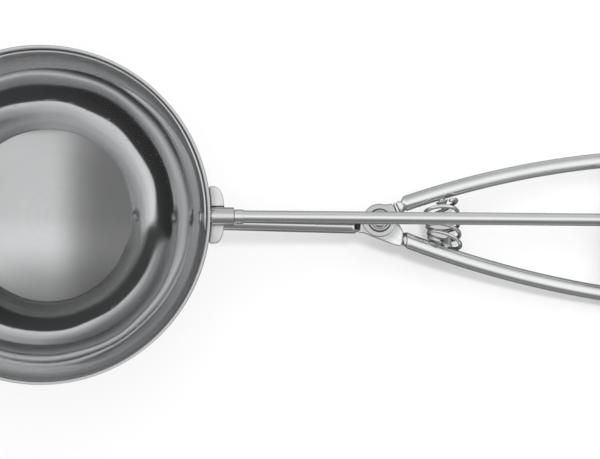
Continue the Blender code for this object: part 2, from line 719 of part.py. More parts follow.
def build_spring(root):
    """One unbroken wire. Its turns fan out, because the rods that it pushes on diverge."""
    count = round(SPRING_TURNS * SPRING_POINTS) + 1
    points = [spring_point(t) for t in np.linspace(0, SPRING_TURNS, count)]
    curve = bpy.data.curves.new("return_spring", "CURVE")
    curve.dimensions = "3D"
    spline = curve.splines.new("POLY")
    spline.points.add(count - 1)
    for target, point in zip(spline.points, points):
        target.co = (*point, 1.0)
    curve.bevel_depth = WIRE_R
    curve.bevel_resolution = 1
    curve.use_fill_caps = True
    print(f"return_spring least gap to itself: {least_gap(points) / MM:.2f} mm")
    return finish(place("return_spring", curve, root), "spring")


def least_gap(points):
    """The least distance between stretches over half a turn apart, less the wire."""
    ends = np.array(points)
    fine = np.concatenate([ends[:-1] + (ends[1:] - ends[:-1]) * t for t in np.linspace(0, 0.9, 10)])
    order = np.concatenate([np.arange(len(ends) - 1) + t for t in np.linspace(0, 0.9, 10)])
    apart = np.linalg.norm(fine[:, None] - fine[None], axis=2)
    near = np.abs(order[:, None] - order[None]) < SPRING_POINTS / 2
    return apart[~near].min() - 2 * WIRE_R


def pinion_outline():
    """Involute teeth as (angle, radius) points, with one tooth pointing down."""
    base = PINION_R * math.cos(math.radians(PRESSURE_DEG))
    tip = PINION_R + PINION_ADDENDUM
    root = PINION_R - TOOTH_ROOT
    half_pitch_tooth = (math.pi * GEAR_MODULE / 2 - TOOTH_PLAY) / 2 / PINION_R

    def roll(radius):
        """The involute's polar angle at this radius."""
        lean = math.acos(min(base / radius, 1.0))
        return math.tan(lean) - lean

    radii = [root, base, PINION_R, tip]
    half = [half_pitch_tooth + roll(PINION_R) - roll(max(r, base)) for r in radii]
    half[0] += math.radians(ROOT_FLARE_DEG)
    points = []
    for tooth in range(PINION_TEETH):
        middle = -math.pi / 2 + 2 * math.pi * tooth / PINION_TEETH
        points += [(middle - h, r) for h, r in zip(half, radii)]
        points += [(middle + h, r) for h, r in zip(half[::-1], radii[::-1])]
    return points


def build_pinion(wiper):
    """Teeth and hub on one bore, so each ring runs bore, hub, tooth, bore."""
    face = HUB_X + HUB_LENGTH
    end = face + PINION_FACE
    rings = []
    for angle, radius in pinion_outline():
        profile = [
            (HUB_X, BORE_R), (HUB_X, HUB_R), (face, HUB_R), (face, radius), (end, radius), (end, BORE_R)
        ]
        rings.append([(x, r * math.cos(angle), r * math.sin(angle)) for x, r in profile])
    pinion = place("drive_pinion", loft("drive_pinion", rings, closed=True), wiper)
    pin_x = HUB_X + HUB_LENGTH / 2
    drill(pinion, "pinion_pin_hole", wiper, PIN_R + GAP, (pin_x, 0, 0), 4 * HUB_R, steps=16)
    finish(pinion, "machined", 25)
    pin = turned("pinion_pin", cylinder_profile(PIN_R, -HUB_R, HUB_R, 0.1 * MM), 16)
    finish(place("pinion_pin", pin, wiper, (pin_x, 0, 0)), "machined")


def polar(radius, angle):
    """A point in plan, by its distance and bearing from the pivot."""
    return (PIVOT_X + radius * math.cos(angle), PIVOT_Y + radius * math.sin(angle))


def arc_outline(radius_in, radius_out, start, end, steps=6):
    """An arc-shaped plate centred on the pivot, as a plan outline."""
    out = [polar(radius_out, a) for a in np.linspace(start, end, steps)]
    back = [polar(radius_in, a) for a in np.linspace(end, start, steps)]
    return out + back


def tab_bearings():
    """Where the tab covers the squeeze rod, as bearings from the pivot."""
    y = squeeze_grip_y(PIVOT_X + 0.97 * RACK_R)
    return (
        math.asin((y - 1.15 * ROD_R - PIVOT_Y) / RACK_R),
        math.asin((y + 1.05 * ROD_R - PIVOT_Y) / RACK_R),
    )


def tab_outline():
    start, end = tab_bearings()
    return arc_outline(RACK_R - TAB_WIDTH / 2, RACK_R + TAB_WIDTH / 2, start, end)


def rack_stations():
    """(bearing, height) points along the toothed top, one gap centred under the pinion."""
    pitch = math.pi * GEAR_MODULE / RACK_R
    middle = math.atan2(-PIVOT_Y, RACK_R)
    half = (math.pi * GEAR_MODULE / 2 - TOOTH_PLAY) / 2
    slant = math.tan(math.radians(PRESSURE_DEG))
    foot = (half + TOOTH_ROOT * slant) / RACK_R
    crest = (half - RACK_ADDENDUM * slant) / RACK_R
    points = []
    for tooth in range(-RACK_TEETH_BEFORE, RACK_TEETH_AFTER):
        centre = middle + (tooth + 0.5) * pitch
        crest_z = -PINION_R + RACK_ADDENDUM
        points += [(centre - foot, RACK_TOP), (centre - crest, crest_z)]
        points += [(centre + crest, crest_z), (centre + foot, RACK_TOP)]
    return points


def build_rack(lever):
    """An arc of teeth round the pivot, with a stop at its free end and a tab on the handle."""
    stop_start = math.asin((-CAGE_HALF_WIDTH - GAP - PIVOT_Y) / (RACK_R - RACK_WIDTH))
    stop_end = stop_start - STOP_T / RACK_R
    tab_start, _ = tab_bearings()
    stations = [(stop_end * 0.7 + stop_start * 0.3, RACK_TOP)] + rack_stations()
    last = stations[-1][0]
    tail = tab_start + 0.4 * ROD_R / RACK_R
    stations += [(a, RACK_TOP) for a in np.linspace(last, tail, 5)[1:]]
    origin = np.array(lever.location)
    rings = []
    inner = RACK_R - RACK_WIDTH / 2
    outer = RACK_R + RACK_WIDTH / 2
    for angle, height in stations:
        corners = ((inner, RACK_BOTTOM), (outer, RACK_BOTTOM), (outer, height), (inner, height))
        rings.append([np.array((*polar(r, angle), z)) - origin for r, z in corners])
    rack = place("drive_rack", loft("drive_rack", rings), lever, origin)
    near = RACK_R - (GEAR_X - CHEEK_NEAR_X) + GAP
    far = RACK_R + (CHEEK_FAR_X + CAGE_T - GEAR_X) - GAP
    for name, outline in (
        ("rack_stop", arc_outline(near, far, stop_end, stop_start)),
        ("rack_tab", tab_outline()),
    ):
        local = [(x - origin[0], y - origin[1]) for x, y in outline]
        plate = prism(name, local, RACK_BOTTOM - origin[2], RACK_TOP - origin[2])
        combine(rack, place(name, plate, lever, origin), "UNION")
    rivet_holes(rack, "tab_rivet_hole", lever, tab_middle(), squeeze_grip_y, RACK_TOP)
    return finish(rack, "machined", 25)


def build_small_rivets(parent, prefix, middle, grip_y, plate_top):
    """Two rivets that hold a plate on the rod's flat."""
    for label, x in zip(("front", "rear"), rivet_places(middle)):
        profile = rivet_profile(
            SMALL_RIVET_R, SMALL_HEAD_R, SMALL_HEAD_T, ROD_BOTTOM - GAP, plate_top + GAP,
            SMALL_HEAD_R, SMALL_HEAD_T,
        )
        name = f"{prefix}_{label}"
        finish(place(name, turned(name, profile, 14), parent, (x, grip_y(x), 0)), "machined")


def build_cage(root):
    """A web under the rack and two cheeks that carry the shaft on both sides of the pinion."""
    middle = cage_middle()
    end = CHEEK_FAR_X + CAGE_T
    far_y = fixed_grip_y(middle) - 0.85 * ROD_R
    corner = 1.4 * MM
    outline = [
        (CHEEK_NEAR_X, CAGE_HALF_WIDTH), (CHEEK_NEAR_X, far_y + corner), (CHEEK_NEAR_X + corner, far_y),
        (end - corner, far_y), (end, far_y + corner), (end, CAGE_HALF_WIDTH),
    ]
    cage = place("bearing_cage", prism("bearing_cage", outline, WEB_BOTTOM, WEB_TOP), root)
    top = [
        (CAGE_HALF_WIDTH * math.sin(a), CAGE_HALF_WIDTH * math.cos(a))
        for a in np.linspace(math.pi / 2, -math.pi / 2, 17)
    ]
    foot = WEB_BOTTOM + CAGE_T / 2
    cheek = [(-CAGE_HALF_WIDTH, foot), (CAGE_HALF_WIDTH, foot)] + top
    for name, x in (("near_cheek", CHEEK_NEAR_X), ("far_cheek", CHEEK_FAR_X)):
        rings = [[(x + dx, y, z) for y, z in cheek] for dx in (0, CAGE_T)]
        combine(cage, place(name, loft(name, rings), root), "UNION")
    through = 2 * (end - CHEEK_NEAR_X)
    drill(cage, "cage_shaft_hole", root, BORE_R, (middle, 0, 0), through, along_x(), 32)
    rivet_holes(cage, "web_rivet_hole", root, middle, fixed_grip_y, WEB_TOP)
    return finish(cage, "satin")


def build_clip(wiper):
    """A spring clip, open on one side, in the shaft's groove."""
    opening = math.radians(35)
    sweep = np.linspace(opening, 2 * math.pi - opening, 25)
    inner = CLIP_GROOVE_R + GAP
    outer = [(CLIP_R * math.cos(a), CLIP_R * math.sin(a)) for a in sweep]
    back = [(inner * math.cos(a), inner * math.sin(a)) for a in sweep[::-1]]
    disc = prism("shaft_end_clip", outer + back, 0, CLIP_T)
    clip = place("shaft_end_clip", disc, wiper, (CLIP_X, 0, 0), along_x())
    return finish(clip, "machined")


def settle(root):
    """Tilts the scoop to its resting pose and puts the origin under its box's middle."""
    root.rotation_euler = (0, math.radians(REST_DEG), 0)
    bpy.context.view_layer.update()
    graph = bpy.context.evaluated_depsgraph_get()
    points = []
    for obj in bpy.data.objects:
        if obj.type == "EMPTY" or obj.hide_render:
            continue
        evaluated = obj.evaluated_get(graph)
        mesh = evaluated.to_mesh()
        points += [evaluated.matrix_world @ vertex.co for vertex in mesh.vertices]
        evaluated.to_mesh_clear()
    points = np.array(points)
    low = points.min(axis=0)
    high = points.max(axis=0)
    root.location = (-(low[0] + high[0]) / 2, -(low[1] + high[1]) / 2, -low[2])
    bpy.context.view_layer.update()
    print("size, m:", np.round(high - low, 5))


def main():
    clear_scene()
    root = empty("rest_frame")
    lever = empty("squeeze_axis", root, (PIVOT_X, PIVOT_Y, HANDLE_Z))
    wiper = empty("wiper_axis", root)
    build_bowl(root)
    build_saddle(root)
    build_ferrule(root)
    build_nose_pin(root)
    blade_washer("nose_washer", wiper, -1)
    build_blade(wiper)
    blade_washer("shaft_washer", wiper, 1)
    build_shaft(wiper)
    build_fixed_handle(root)
    build_squeeze_handle(lever)
    build_pivot(root)
    build_spring(root)
    build_peg("spring_peg_fixed", root, fixed_grip_y, 1)
    build_peg("spring_peg_squeeze", lever, squeeze_grip_y, -1)
    build_pinion(wiper)
    build_rack(lever)
    build_small_rivets(lever, "rack_rivet", tab_middle(), squeeze_grip_y, RACK_TOP)
    build_cage(root)
    build_small_rivets(root, "cage_rivet", cage_middle(), fixed_grip_y, WEB_TOP)
    build_clip(wiper)
    settle(root)
    for name in ("rest_frame", "squeeze_axis", "wiper_axis"):
        matrix = bpy.data.objects[name].matrix_world
        print(name, "at", np.round(matrix.translation, 6), "x", np.round(matrix.col[0][:3], 6),
              "z", np.round(matrix.col[2][:3], 6))
    print(f"rest tilt {REST_DEG:.3f} deg, squeeze {SQUEEZE_DEG:.4f} deg, ratio {RATIO:.5f}")


main()
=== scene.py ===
"""Ice cream scoop: every piece as a fine steel surface, in soft studio light.

Shapes are written in the working frame, in millimetres: the origin is the centre of the bowl's
sphere, X runs along the wiper shaft to the handles and Z points out of the bowl's mouth. to_world
carries that frame to the pose in which the scoop lies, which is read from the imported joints.
"""

import json
import math

import bmesh
import bpy
import numpy as np
from mathutils import Matrix, Vector


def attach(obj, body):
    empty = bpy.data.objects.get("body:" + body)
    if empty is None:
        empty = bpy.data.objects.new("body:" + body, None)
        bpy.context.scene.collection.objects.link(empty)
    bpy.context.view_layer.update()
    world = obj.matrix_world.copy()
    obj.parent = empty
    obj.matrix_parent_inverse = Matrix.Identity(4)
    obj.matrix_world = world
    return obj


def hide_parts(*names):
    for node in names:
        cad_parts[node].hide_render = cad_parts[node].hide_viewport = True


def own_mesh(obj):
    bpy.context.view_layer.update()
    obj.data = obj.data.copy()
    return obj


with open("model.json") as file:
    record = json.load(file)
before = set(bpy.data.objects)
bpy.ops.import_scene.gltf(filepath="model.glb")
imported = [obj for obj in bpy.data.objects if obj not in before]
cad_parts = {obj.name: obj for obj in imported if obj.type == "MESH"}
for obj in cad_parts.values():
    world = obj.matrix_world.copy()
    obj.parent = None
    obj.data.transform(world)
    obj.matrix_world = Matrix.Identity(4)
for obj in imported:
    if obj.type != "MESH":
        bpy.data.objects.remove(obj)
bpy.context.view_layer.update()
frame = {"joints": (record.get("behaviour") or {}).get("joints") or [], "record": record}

MM = 0.001  # lengths outside the working frame are in metres, as Blender's are
GAP = 0.3  # what touching pieces keep between them

# Bowl
BOWL_R = 54.2  # inside
BOWL_WALL = 1.0
BOWL_SKIRT = 4.0
BOWL_OUT = BOWL_R + BOWL_WALL
BOWL_STEP = math.radians(31.0)  # from the bottom, where the spun floor meets the wall
BOWL_STEP_WIDTH = math.radians(5.5)
BOWL_STEP_DEPTH = 0.24

# Wiper blade, its shaft and the two pivots
BLADE_T = 0.6
BLADE_OUT = BOWL_R - GAP
BLADE_IN = BLADE_OUT - BLADE_T
BLADE_W = 20.0
BLADE_EYE_R = 4.5
BLADE_TAPER = 26.0
BLADE_REST = math.radians(12.5)
PIVOT_HEAD_R = 2.4
BLADE_WASHER_R = 3.1
BLADE_WASHER_T = 0.5
SHAFT_R = 2.05
TENON_R = 1.3
BORE_R = SHAFT_R + GAP
COLLAR_R = 2.35
COLLAR_LENGTH = 2.8
FERRULE_R = 3.0
FERRULE_LENGTH = 7.2
FERRULE_X = BOWL_OUT + GAP
COLLAR_X = FERRULE_X + FERRULE_LENGTH + GAP
NOSE_PIN_R = 1.5
NOSE_HEAD_R = 3.5
HEAD_T = 1.1

# Saddle bracket
SADDLE_R = BOWL_OUT + GAP
SADDLE_HALF_WIDTH = 9.4
SADDLE_REACH = 4.0
SADDLE_Y = 0.5
SADDLE_PLATE_T = 2.2
SADDLE_FLANGE_T = 1.6
SADDLE_DROP = math.radians(18.0)
SADDLE_TOP = -FERRULE_R - GAP

# Handles
ROD_R = 2.5
HANDLE_Z = -8.3
ROD_TOP = HANDLE_Z + ROD_R
ROD_BOTTOM = HANDLE_Z - ROD_R
TIP_X = 235.0 - ROD_R
NECK_Y = -2.7
BOWL_END_Y = -1.9
FIXED_ROD_X = SADDLE_R + SADDLE_FLANGE_T + GAP
FIXED_ARC = (234.8, -28.0, 331.0)  # x, y and radius where it runs parallel to X
SQUEEZE_ARC = (214.4, 21.2, -286.8)

# Pivot
PIVOT_X = 110.4
PIVOT_Y = -0.78
PIVOT = (PIVOT_X, PIVOT_Y, HANDLE_Z)
EYE_R = 5.5
RIVET_R = 2.0
RIVET_HEAD_R = 3.55
WASHER_T = 0.4
PLATE_T = ROD_R - WASHER_T / 2 - GAP

# Tool grooves at the necks: place beyond the pivot, half width, depth as a share of the section
# and how dark the painted shade in them is, then how far they lean for each step in y
FIXED_GROOVES = ((8.3, 0.32, 0.14, 1.2),)
FIXED_LEAN = -0.12
SQUEEZE_GROOVES = (
    (6.6, 0.30, 0.15, 1.8), (7.7, 0.30, 0.15, 1.8), (9.7, 0.50, 0.16, 0.7),
)
SQUEEZE_LEAN = 0.40

# Return spring and its pegs
SPRING_X = 130.0
SPRING_LEAN = 1.6
SPRING_R = 5.2
WIRE_R = 0.65
SPRING_TURNS = 4.85
SPRING_START = math.radians(112.0)  # from the right-hand side, towards the front
SPRING_TILT = 0.36  # rise of each turn towards the front, as a slope
SPRING_SHARES = (  # share of the turns, share of the way between the rods
    (0, 0), (0.14, 0.05), (0.35, 0.26), (0.56, 0.48), (0.76, 0.70), (0.9, 0.88), (1, 1),
)
PEG_R = 2.0
PEG_TENON_R = 1.0
PEG_LENGTH = 3.5

# Rack and pinion
GEAR_X = 191.6
GEAR_MODULE = 0.7
PINION_TEETH = 12
PRESSURE = math.radians(25.0)
TOOTH_PLAY = 0.15
PINION_ADDENDUM = 0.65
RACK_ADDENDUM = 0.6
TOOTH_ROOT = 0.9
PINION_FACE = 4.4
HUB_R = 3.1
HUB_LENGTH = 3.2
PIN_R = 0.5
RACK_WIDTH = 4.8
RACK_T = 1.0
RACK_TEETH_BEFORE = 2
RACK_TEETH_AFTER = 7
TAB_WIDTH = 9.2
STOP_T = 2.0
SMALL_RIVET_R = 0.8
SMALL_HEAD_R = 1.5
SMALL_HEAD_T = 0.8
RIVET_PITCH = 4.7
PINION_R = GEAR_MODULE * PINION_TEETH / 2
RACK_R = GEAR_X - PIVOT_X
RACK_TOP = -PINION_R - TOOTH_ROOT
RACK_BOTTOM = RACK_TOP - RACK_T

# Bearing cage and clip
CAGE_T = 1.2
CAGE_HALF_WIDTH = 4.2
CLIP_T = 0.6
CLIP_R = 3.5
CLIP_GROOVE_R = 1.5
SHAFT_TAIL = 1.2
TAB_SEAT = RACK_BOTTOM - GAP
WEB_TOP = RACK_BOTTOM - GAP
WEB_BOTTOM = WEB_TOP - CAGE_T
CAGE_SEAT = WEB_BOTTOM - GAP
HUB_X = GEAR_X - PINION_FACE / 2 - HUB_LENGTH
CHEEK_NEAR_X = HUB_X - GAP - CAGE_T
CHEEK_FAR_X = GEAR_X + RACK_WIDTH / 2 + GAP
CAGE_END_X = CHEEK_FAR_X + CAGE_T
CAGE_MIDDLE = (CHEEK_NEAR_X + CAGE_END_X) / 2
CLIP_X = CAGE_END_X + 2 * GAP
SHAFT_END_X = CLIP_X + CLIP_T + GAP + SHAFT_TAIL

# The working frame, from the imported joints
JOINTS = {joint["name"]: joint for joint in frame["joints"]}
CENTRE = np.array(JOINTS["wiper_turn"]["pos_m"])
ALONG = np.array(JOINTS["wiper_turn"]["axis"])
OUT = np.array(JOINTS["squeeze"]["axis"])
AXES = np.stack([ALONG, np.cross(OUT, ALONG), OUT])

# Which way a turned piece's own Z points, as rows of its X, Y and Z
UPRIGHT = np.eye(3)
TO_HANDLES = np.array([[0, 0, -1], [0, 1, 0], [1, 0, 0]], float)
TO_NOSE = np.array([[0, 0, 1], [0, 1, 0], [-1, 0, 0]], float)


def to_world(points):
    """In metres: the bowl's centre plus the three coordinates along the working axes."""
    return CENTRE + MM * np.asarray(points, float) @ AXES


def add(name, data):
    """A new object in the scene, at the origin."""
    made = bpy.data.objects.new(name, data)
    bpy.context.scene.collection.objects.link(made)
    return made


def smooth(mesh, sharp):
    mesh.shade_smooth()
    mesh.set_sharp_from_angle(angle=math.radians(sharp))


def columns(*values):
    """Arrays side by side on a new last axis, each first spread to the shape of them all."""
    return np.stack(np.broadcast_arrays(*values), axis=-1)


def surface(name, grid, wrap_rows=False, grain="rows", sharp=35.0):
    """Quads between neighbouring points of a grid of rows; each row closes on itself.

    The last row joins the first if wrap_rows is set; else open ends are capped. The UV map is in
    metres: U runs with the grain, which follows the rows' sequence or goes round each row.
    """
    rows, cols = grid.shape[:2]
    index = np.arange(rows * cols).reshape(rows, cols)
    full = np.concatenate((grid, grid[:, :1]), axis=1)
    index = np.hstack((index, index[:, :1]))
    if wrap_rows:
        full = np.concatenate((full, full[:1]), axis=0)
        index = np.vstack((index, index[:1]))
    quads = columns(index[:-1, :-1], index[:-1, 1:], index[1:, 1:], index[1:, :-1])
    quads = quads.reshape(-1, 4)
    down = np.linalg.norm(np.diff(full, axis=0), axis=2).mean(axis=1)
    round_ = np.linalg.norm(np.diff(full, axis=1), axis=2).max(axis=0)
    ways = [np.append(0, np.cumsum(steps)) for steps in (down, round_)]
    along, across = np.meshgrid(*ways, indexing="ij")
    uv = MM * (columns(along, across) if grain == "rows" else columns(across, along))
    corners = np.stack((uv[:-1, :-1], uv[:-1, 1:], uv[1:, 1:], uv[1:, :-1]), axis=2)
    mesh = bpy.data.meshes.new(name)
    mesh.vertices.add(rows * cols)
    mesh.vertices.foreach_set("co", to_world(grid.reshape(-1, 3)).ravel())
    mesh.loops.add(quads.size)
    mesh.loops.foreach_set("vertex_index", quads.ravel().astype(np.int32))
    mesh.polygons.add(len(quads))
    mesh.polygons.foreach_set("loop_start", np.arange(0, quads.size, 4, dtype=np.int32))
    mesh.update(calc_edges=True)
    mesh.uv_layers.new(name="UVMap").uv.foreach_set("vector", corners.ravel())
    return closed(name, mesh, sharp)


def closed(name, mesh, sharp=35.0):
    """Merges a mesh's doubles, caps its open ends, points its faces out and smooths it."""
    bm = bmesh.new()
    bm.from_mesh(mesh)
    bmesh.ops.remove_doubles(bm, verts=bm.verts, dist=1e-7)
    bmesh.ops.dissolve_degenerate(bm, edges=bm.edges, dist=1e-8)
    rim = [edge for edge in bm.edges if edge.is_boundary]
    if rim:
        bmesh.ops.holes_fill(bm, edges=rim, sides=0)
    bmesh.ops.recalc_face_normals(bm, faces=bm.faces)
    if bm.calc_volume(signed=True) < 0:
        bmesh.ops.reverse_faces(bm, faces=bm.faces)
    bm.to_mesh(mesh)
    bm.free()
    smooth(mesh, sharp)
    return add(name, mesh)


def boolean(piece, *others, operation="DIFFERENCE", sharp=35.0):
    """Cuts or adds other shapes by an exact Boolean, keeps the result and removes the others."""
    for other in others:
        modifier = piece.modifiers.new(other.name, "BOOLEAN")
        modifier.operation = operation
        modifier.solver = "EXACT"
        modifier.object = other
    graph = bpy.context.evaluated_depsgraph_get()
    mesh = bpy.data.meshes.new_from_object(piece.evaluated_get(graph))
    piece.modifiers.clear()
    piece.data = mesh
    smooth(mesh, sharp)
    for other in others:
        bpy.data.objects.remove(other)
    return piece


def rounded(points, radius, steps=6, ring=False):
    """Each corner becomes a quadratic curve between points at this distance on its two sides."""
    p = np.asarray(points, float)
    back = np.roll(p, 1, axis=0) - p
    ahead = np.roll(p, -1, axis=0) - p
    back_length = np.linalg.norm(back, axis=1, keepdims=True)
    ahead_length = np.linalg.norm(ahead, axis=1, keepdims=True)
    start = p + back * np.minimum(radius / back_length, 0.45)
    end = p + ahead * np.minimum(radius / ahead_length, 0.45)
    t = np.linspace(0, 1, steps)[None, :, None]
    curve = (1 - t) ** 2 * start[:, None] + 2 * t * (1 - t) * p[:, None] + t * t * end[:, None]
    if ring:
        return curve.reshape(-1, 2)
    return np.vstack((p[:1], curve[1:-1].reshape(-1, 2), p[-1:]))


def turned(name, profile, basis=UPRIGHT, at=(0, 0, 0), steps=96, ring=False, sharp=35.0,
           grain="cols"):
    """A profile of (radius, height) carried round its Z axis: radius times cosine and sine."""
    profile = np.asarray(profile, float)
    angle = np.linspace(0, 2 * np.pi, steps, endpoint=False)
    radius = profile[:, :1]
    grid = columns(radius * np.cos(angle), radius * np.sin(angle), profile[:, 1:])
    return surface(name, grid @ basis + np.array(at), ring, grain, sharp)


def plate(name, outline, low, high, edge, basis=UPRIGHT, at=(0, 0, 0), steps=5):
    """An outline carried from low to high, drawn in by a quarter circle along both edges."""
    p = np.asarray(outline, float)
    ahead = np.roll(p, -1, axis=0) - p
    ahead /= np.linalg.norm(ahead, axis=1, keepdims=True)
    back = np.roll(ahead, 1, axis=0)
    area = np.sum(p[:, 0] * np.roll(p[:, 1], -1) - np.roll(p[:, 0], -1) * p[:, 1])
    inward = columns(-(ahead + back)[:, 1], (ahead + back)[:, 0]) * np.sign(area)
    inward /= np.maximum(np.sum(inward**2, axis=1, keepdims=True) / 2, 0.5)
    turn = np.linspace(0, np.pi / 2, steps)
    inset = np.concatenate((edge * (1 - np.sin(turn)), edge * (1 - np.cos(turn))))
    level = np.concatenate((low + edge * (1 - np.cos(turn)), high - edge * (1 - np.sin(turn))))
    flat = p + inward * inset[:, None, None]
    grid = columns(flat[..., 0], flat[..., 1], level[:, None])
    return surface(name, grid @ basis + np.array(at), False, "cols")


def tube(name, path, radius, reference, steps=20):
    """A circle carried square to a path. The reference direction at each point sets its turn."""
    ahead = np.gradient(path, axis=0)
    ahead /= np.linalg.norm(ahead, axis=1, keepdims=True)
    side = reference - np.sum(reference * ahead, axis=1, keepdims=True) * ahead
    side /= np.linalg.norm(side, axis=1, keepdims=True)
    other = np.cross(ahead, side)
    angle = np.linspace(0, 2 * np.pi, steps, endpoint=False)[None, :, None]
    ends = np.array([0.75, 0.93, 1.0])
    share = np.concatenate((ends, np.ones(len(path) - 6), ends[::-1]))[:, None, None]
    ring = side[:, None] * np.cos(angle) + other[:, None] * np.sin(angle)
    return surface(name, path[:, None] + ring * radius * share)


def ring(name, inner, outer, low, high, edge, **how):
    """A tube or washer: its closed profile with rounded edges, carried round its axis."""
    profile = rounded([(inner, low), (outer, low), (outer, high), (inner, high)], edge, ring=True)
    return turned(name, profile, ring=True, **how)


def drill(radius, length, basis=UPRIGHT, at=PIVOT):
    """A plain cylinder about its own middle, to cut a hole with."""
    half = length / 2
    return turned("drill", [(0, -half), (radius, -half), (radius, half), (0, half)], basis, at)


def rivet(name, shank_r, head_r, head_t, low, high, basis, at, tail_r=None, steps=48):
    """A domed head above high, a shank, and a peened tail below low."""
    tail_r = tail_r or head_r
    turn = np.linspace(0, np.pi / 2, 12)
    rim_t = 0.35 * head_t
    dome = columns(head_r * np.sin(turn), high + rim_t + (head_t - rim_t) * np.cos(turn))
    foot = [
        (head_r, high), (shank_r, high), (shank_r, low), (tail_r, low),
        (tail_r, low - 0.4 * head_t), (0.6 * tail_r, low - head_t), (0, low - head_t),
    ]
    profile = np.vstack((dome, rounded(foot, 0.12)))
    return turned(name, profile, basis, at, steps)


def grip_y(arc, x):
    """The grip's middle line: a circle arc that runs parallel to X at the arc's x and y."""
    arc_x, arc_y, radius = arc
    return arc_y + radius - np.copysign(np.sqrt(radius**2 - (x - arc_x) ** 2), radius)


def grip_slope(arc, x):
    """The middle line's angle: its sine is the distance from the arc's x over the radius."""
    return np.arcsin((x - arc[0]) / arc[2])


def half_width(arc, x):
    """Half the rod's width across Y, where its middle line is at a slope."""
    return ROD_R / np.cos(grip_slope(arc, x))


def curve_through(table, x):
    """Cubic curves through the table's rows of (x, value, value, ...), read at every x."""
    table = np.array(table, float)
    slopes = np.gradient(table[:, 1:], table[:, 0], axis=0)
    i = np.clip(np.searchsorted(table[:, 0], x) - 1, 0, len(table) - 2)
    step = (table[i + 1, 0] - table[i, 0])[:, None]
    t = (x - table[i, 0])[:, None] / step
    return (
        (1 + 2 * t) * (1 - t) ** 2 * table[i, 1:]
        + t * (1 - t) ** 2 * step * slopes[i]
        + t * t * (3 - 2 * t) * table[i + 1, 1:]
        + t * t * (t - 1) * step * slopes[i + 1]
    ).T


def raised(value, power):
    """A power that keeps the value's sign."""
    return np.sign(value) * np.abs(value) ** power


def sections(*rows, points=96):
    """Rings in planes of constant x: |y|^n + |z|^n = 1, scaled to the four sides.

    The rows are x, upper and lower y, top and bottom z, and the squareness n.
    """
    angle = 2 * np.pi * (np.arange(points) + 0.5) / points
    x, upper, lower, top, bottom, squareness = (
        row[:, None] for row in np.broadcast_arrays(*rows)
    )
    y = (upper + lower) / 2 + (upper - lower) / 2 * raised(np.cos(angle), 2.0 / squareness)
    z = (top + bottom) / 2 + (top - bottom) / 2 * raised(np.sin(angle), 2.0 / squareness)
    return columns(x, y, z)


def grip_sections(arc, start):
    """Round sections along the grip's arc, then a tip rounded like a ball of the rod's radius."""
    x = np.linspace(start, TIP_X, 320)
    turn = np.radians(np.linspace(3, 89.5, 26))
    x = np.concatenate((x, TIP_X + ROD_R * np.sin(turn)))
    drop = np.concatenate((np.full(320, ROD_R), ROD_R * np.cos(turn)))
    half = drop / ROD_R * half_width(arc, x)
    y = grip_y(arc, x)
    return sections(x, y + half, y - half, HANDLE_Z + drop, HANDLE_Z - drop, 2.0)


def grooved(grid, grooves, lean):
    """Points move towards their section's middle: depth times a bell curve across each groove."""
    along = grid[..., :1] - PIVOT_X + lean * (grid[..., 1:2] - PIVOT_Y)
    share = np.ones_like(along)
    for place, width, depth, _ in grooves:
        share -= depth * np.exp(-(((along - place) / width) ** 2))
    middle = (grid.max(axis=1, keepdims=True) + grid.min(axis=1, keepdims=True)) / 2
    return middle + (grid - middle) * share


def seat_flat(grid, start, end, seat):
    """Between two x values the rod is cut down to a flat seat."""
    x = grid[:, 0, 0]
    first = np.searchsorted(x, start)
    last = np.searchsorted(x, end)
    middle = grid[first:last].copy()
    middle[..., 2] = np.minimum(middle[..., 2], seat)
    return np.concatenate((grid[:first], middle, grid[last:]))


def build_bowl():
    """Inside and outside quarter circles and a rounded lip, spun round the mouth's axis.

    Inside, the radius is less in the middle and more past a smooth step, as spinning leaves it.
    """
    arc = np.linspace(0, np.pi / 2, 120)[:, None]
    turn = np.hstack((np.sin(arc), -np.cos(arc)))
    step = np.tanh((arc - BOWL_STEP) / BOWL_STEP_WIDTH)
    fade = np.clip((np.pi / 2 - arc) / (np.pi / 2 - BOWL_STEP), 0, 1) ** 0.8
    inside = (BOWL_R + BOWL_STEP_DEPTH * step * np.where(arc > BOWL_STEP, fade, 1)) * turn
    lip = rounded(
        [(BOWL_OUT, 0), (BOWL_OUT, BOWL_SKIRT), (BOWL_R, BOWL_SKIRT), (BOWL_R, 0)], 0.28
    )
    profile = np.vstack((BOWL_OUT * turn, lip[1:-1], inside[::-1]))
    bowl = turned("bowl_shell", profile, steps=288, sharp=60)
    shaft_hole = drill(BORE_R, 8, TO_HANDLES, (BOWL_R, 0, 0))
    nose_hole = drill(NOSE_PIN_R + GAP, 8, TO_NOSE, (-BOWL_R, 0, 0))
    return boolean(bowl, shaft_hole, nose_hole, sharp=60)


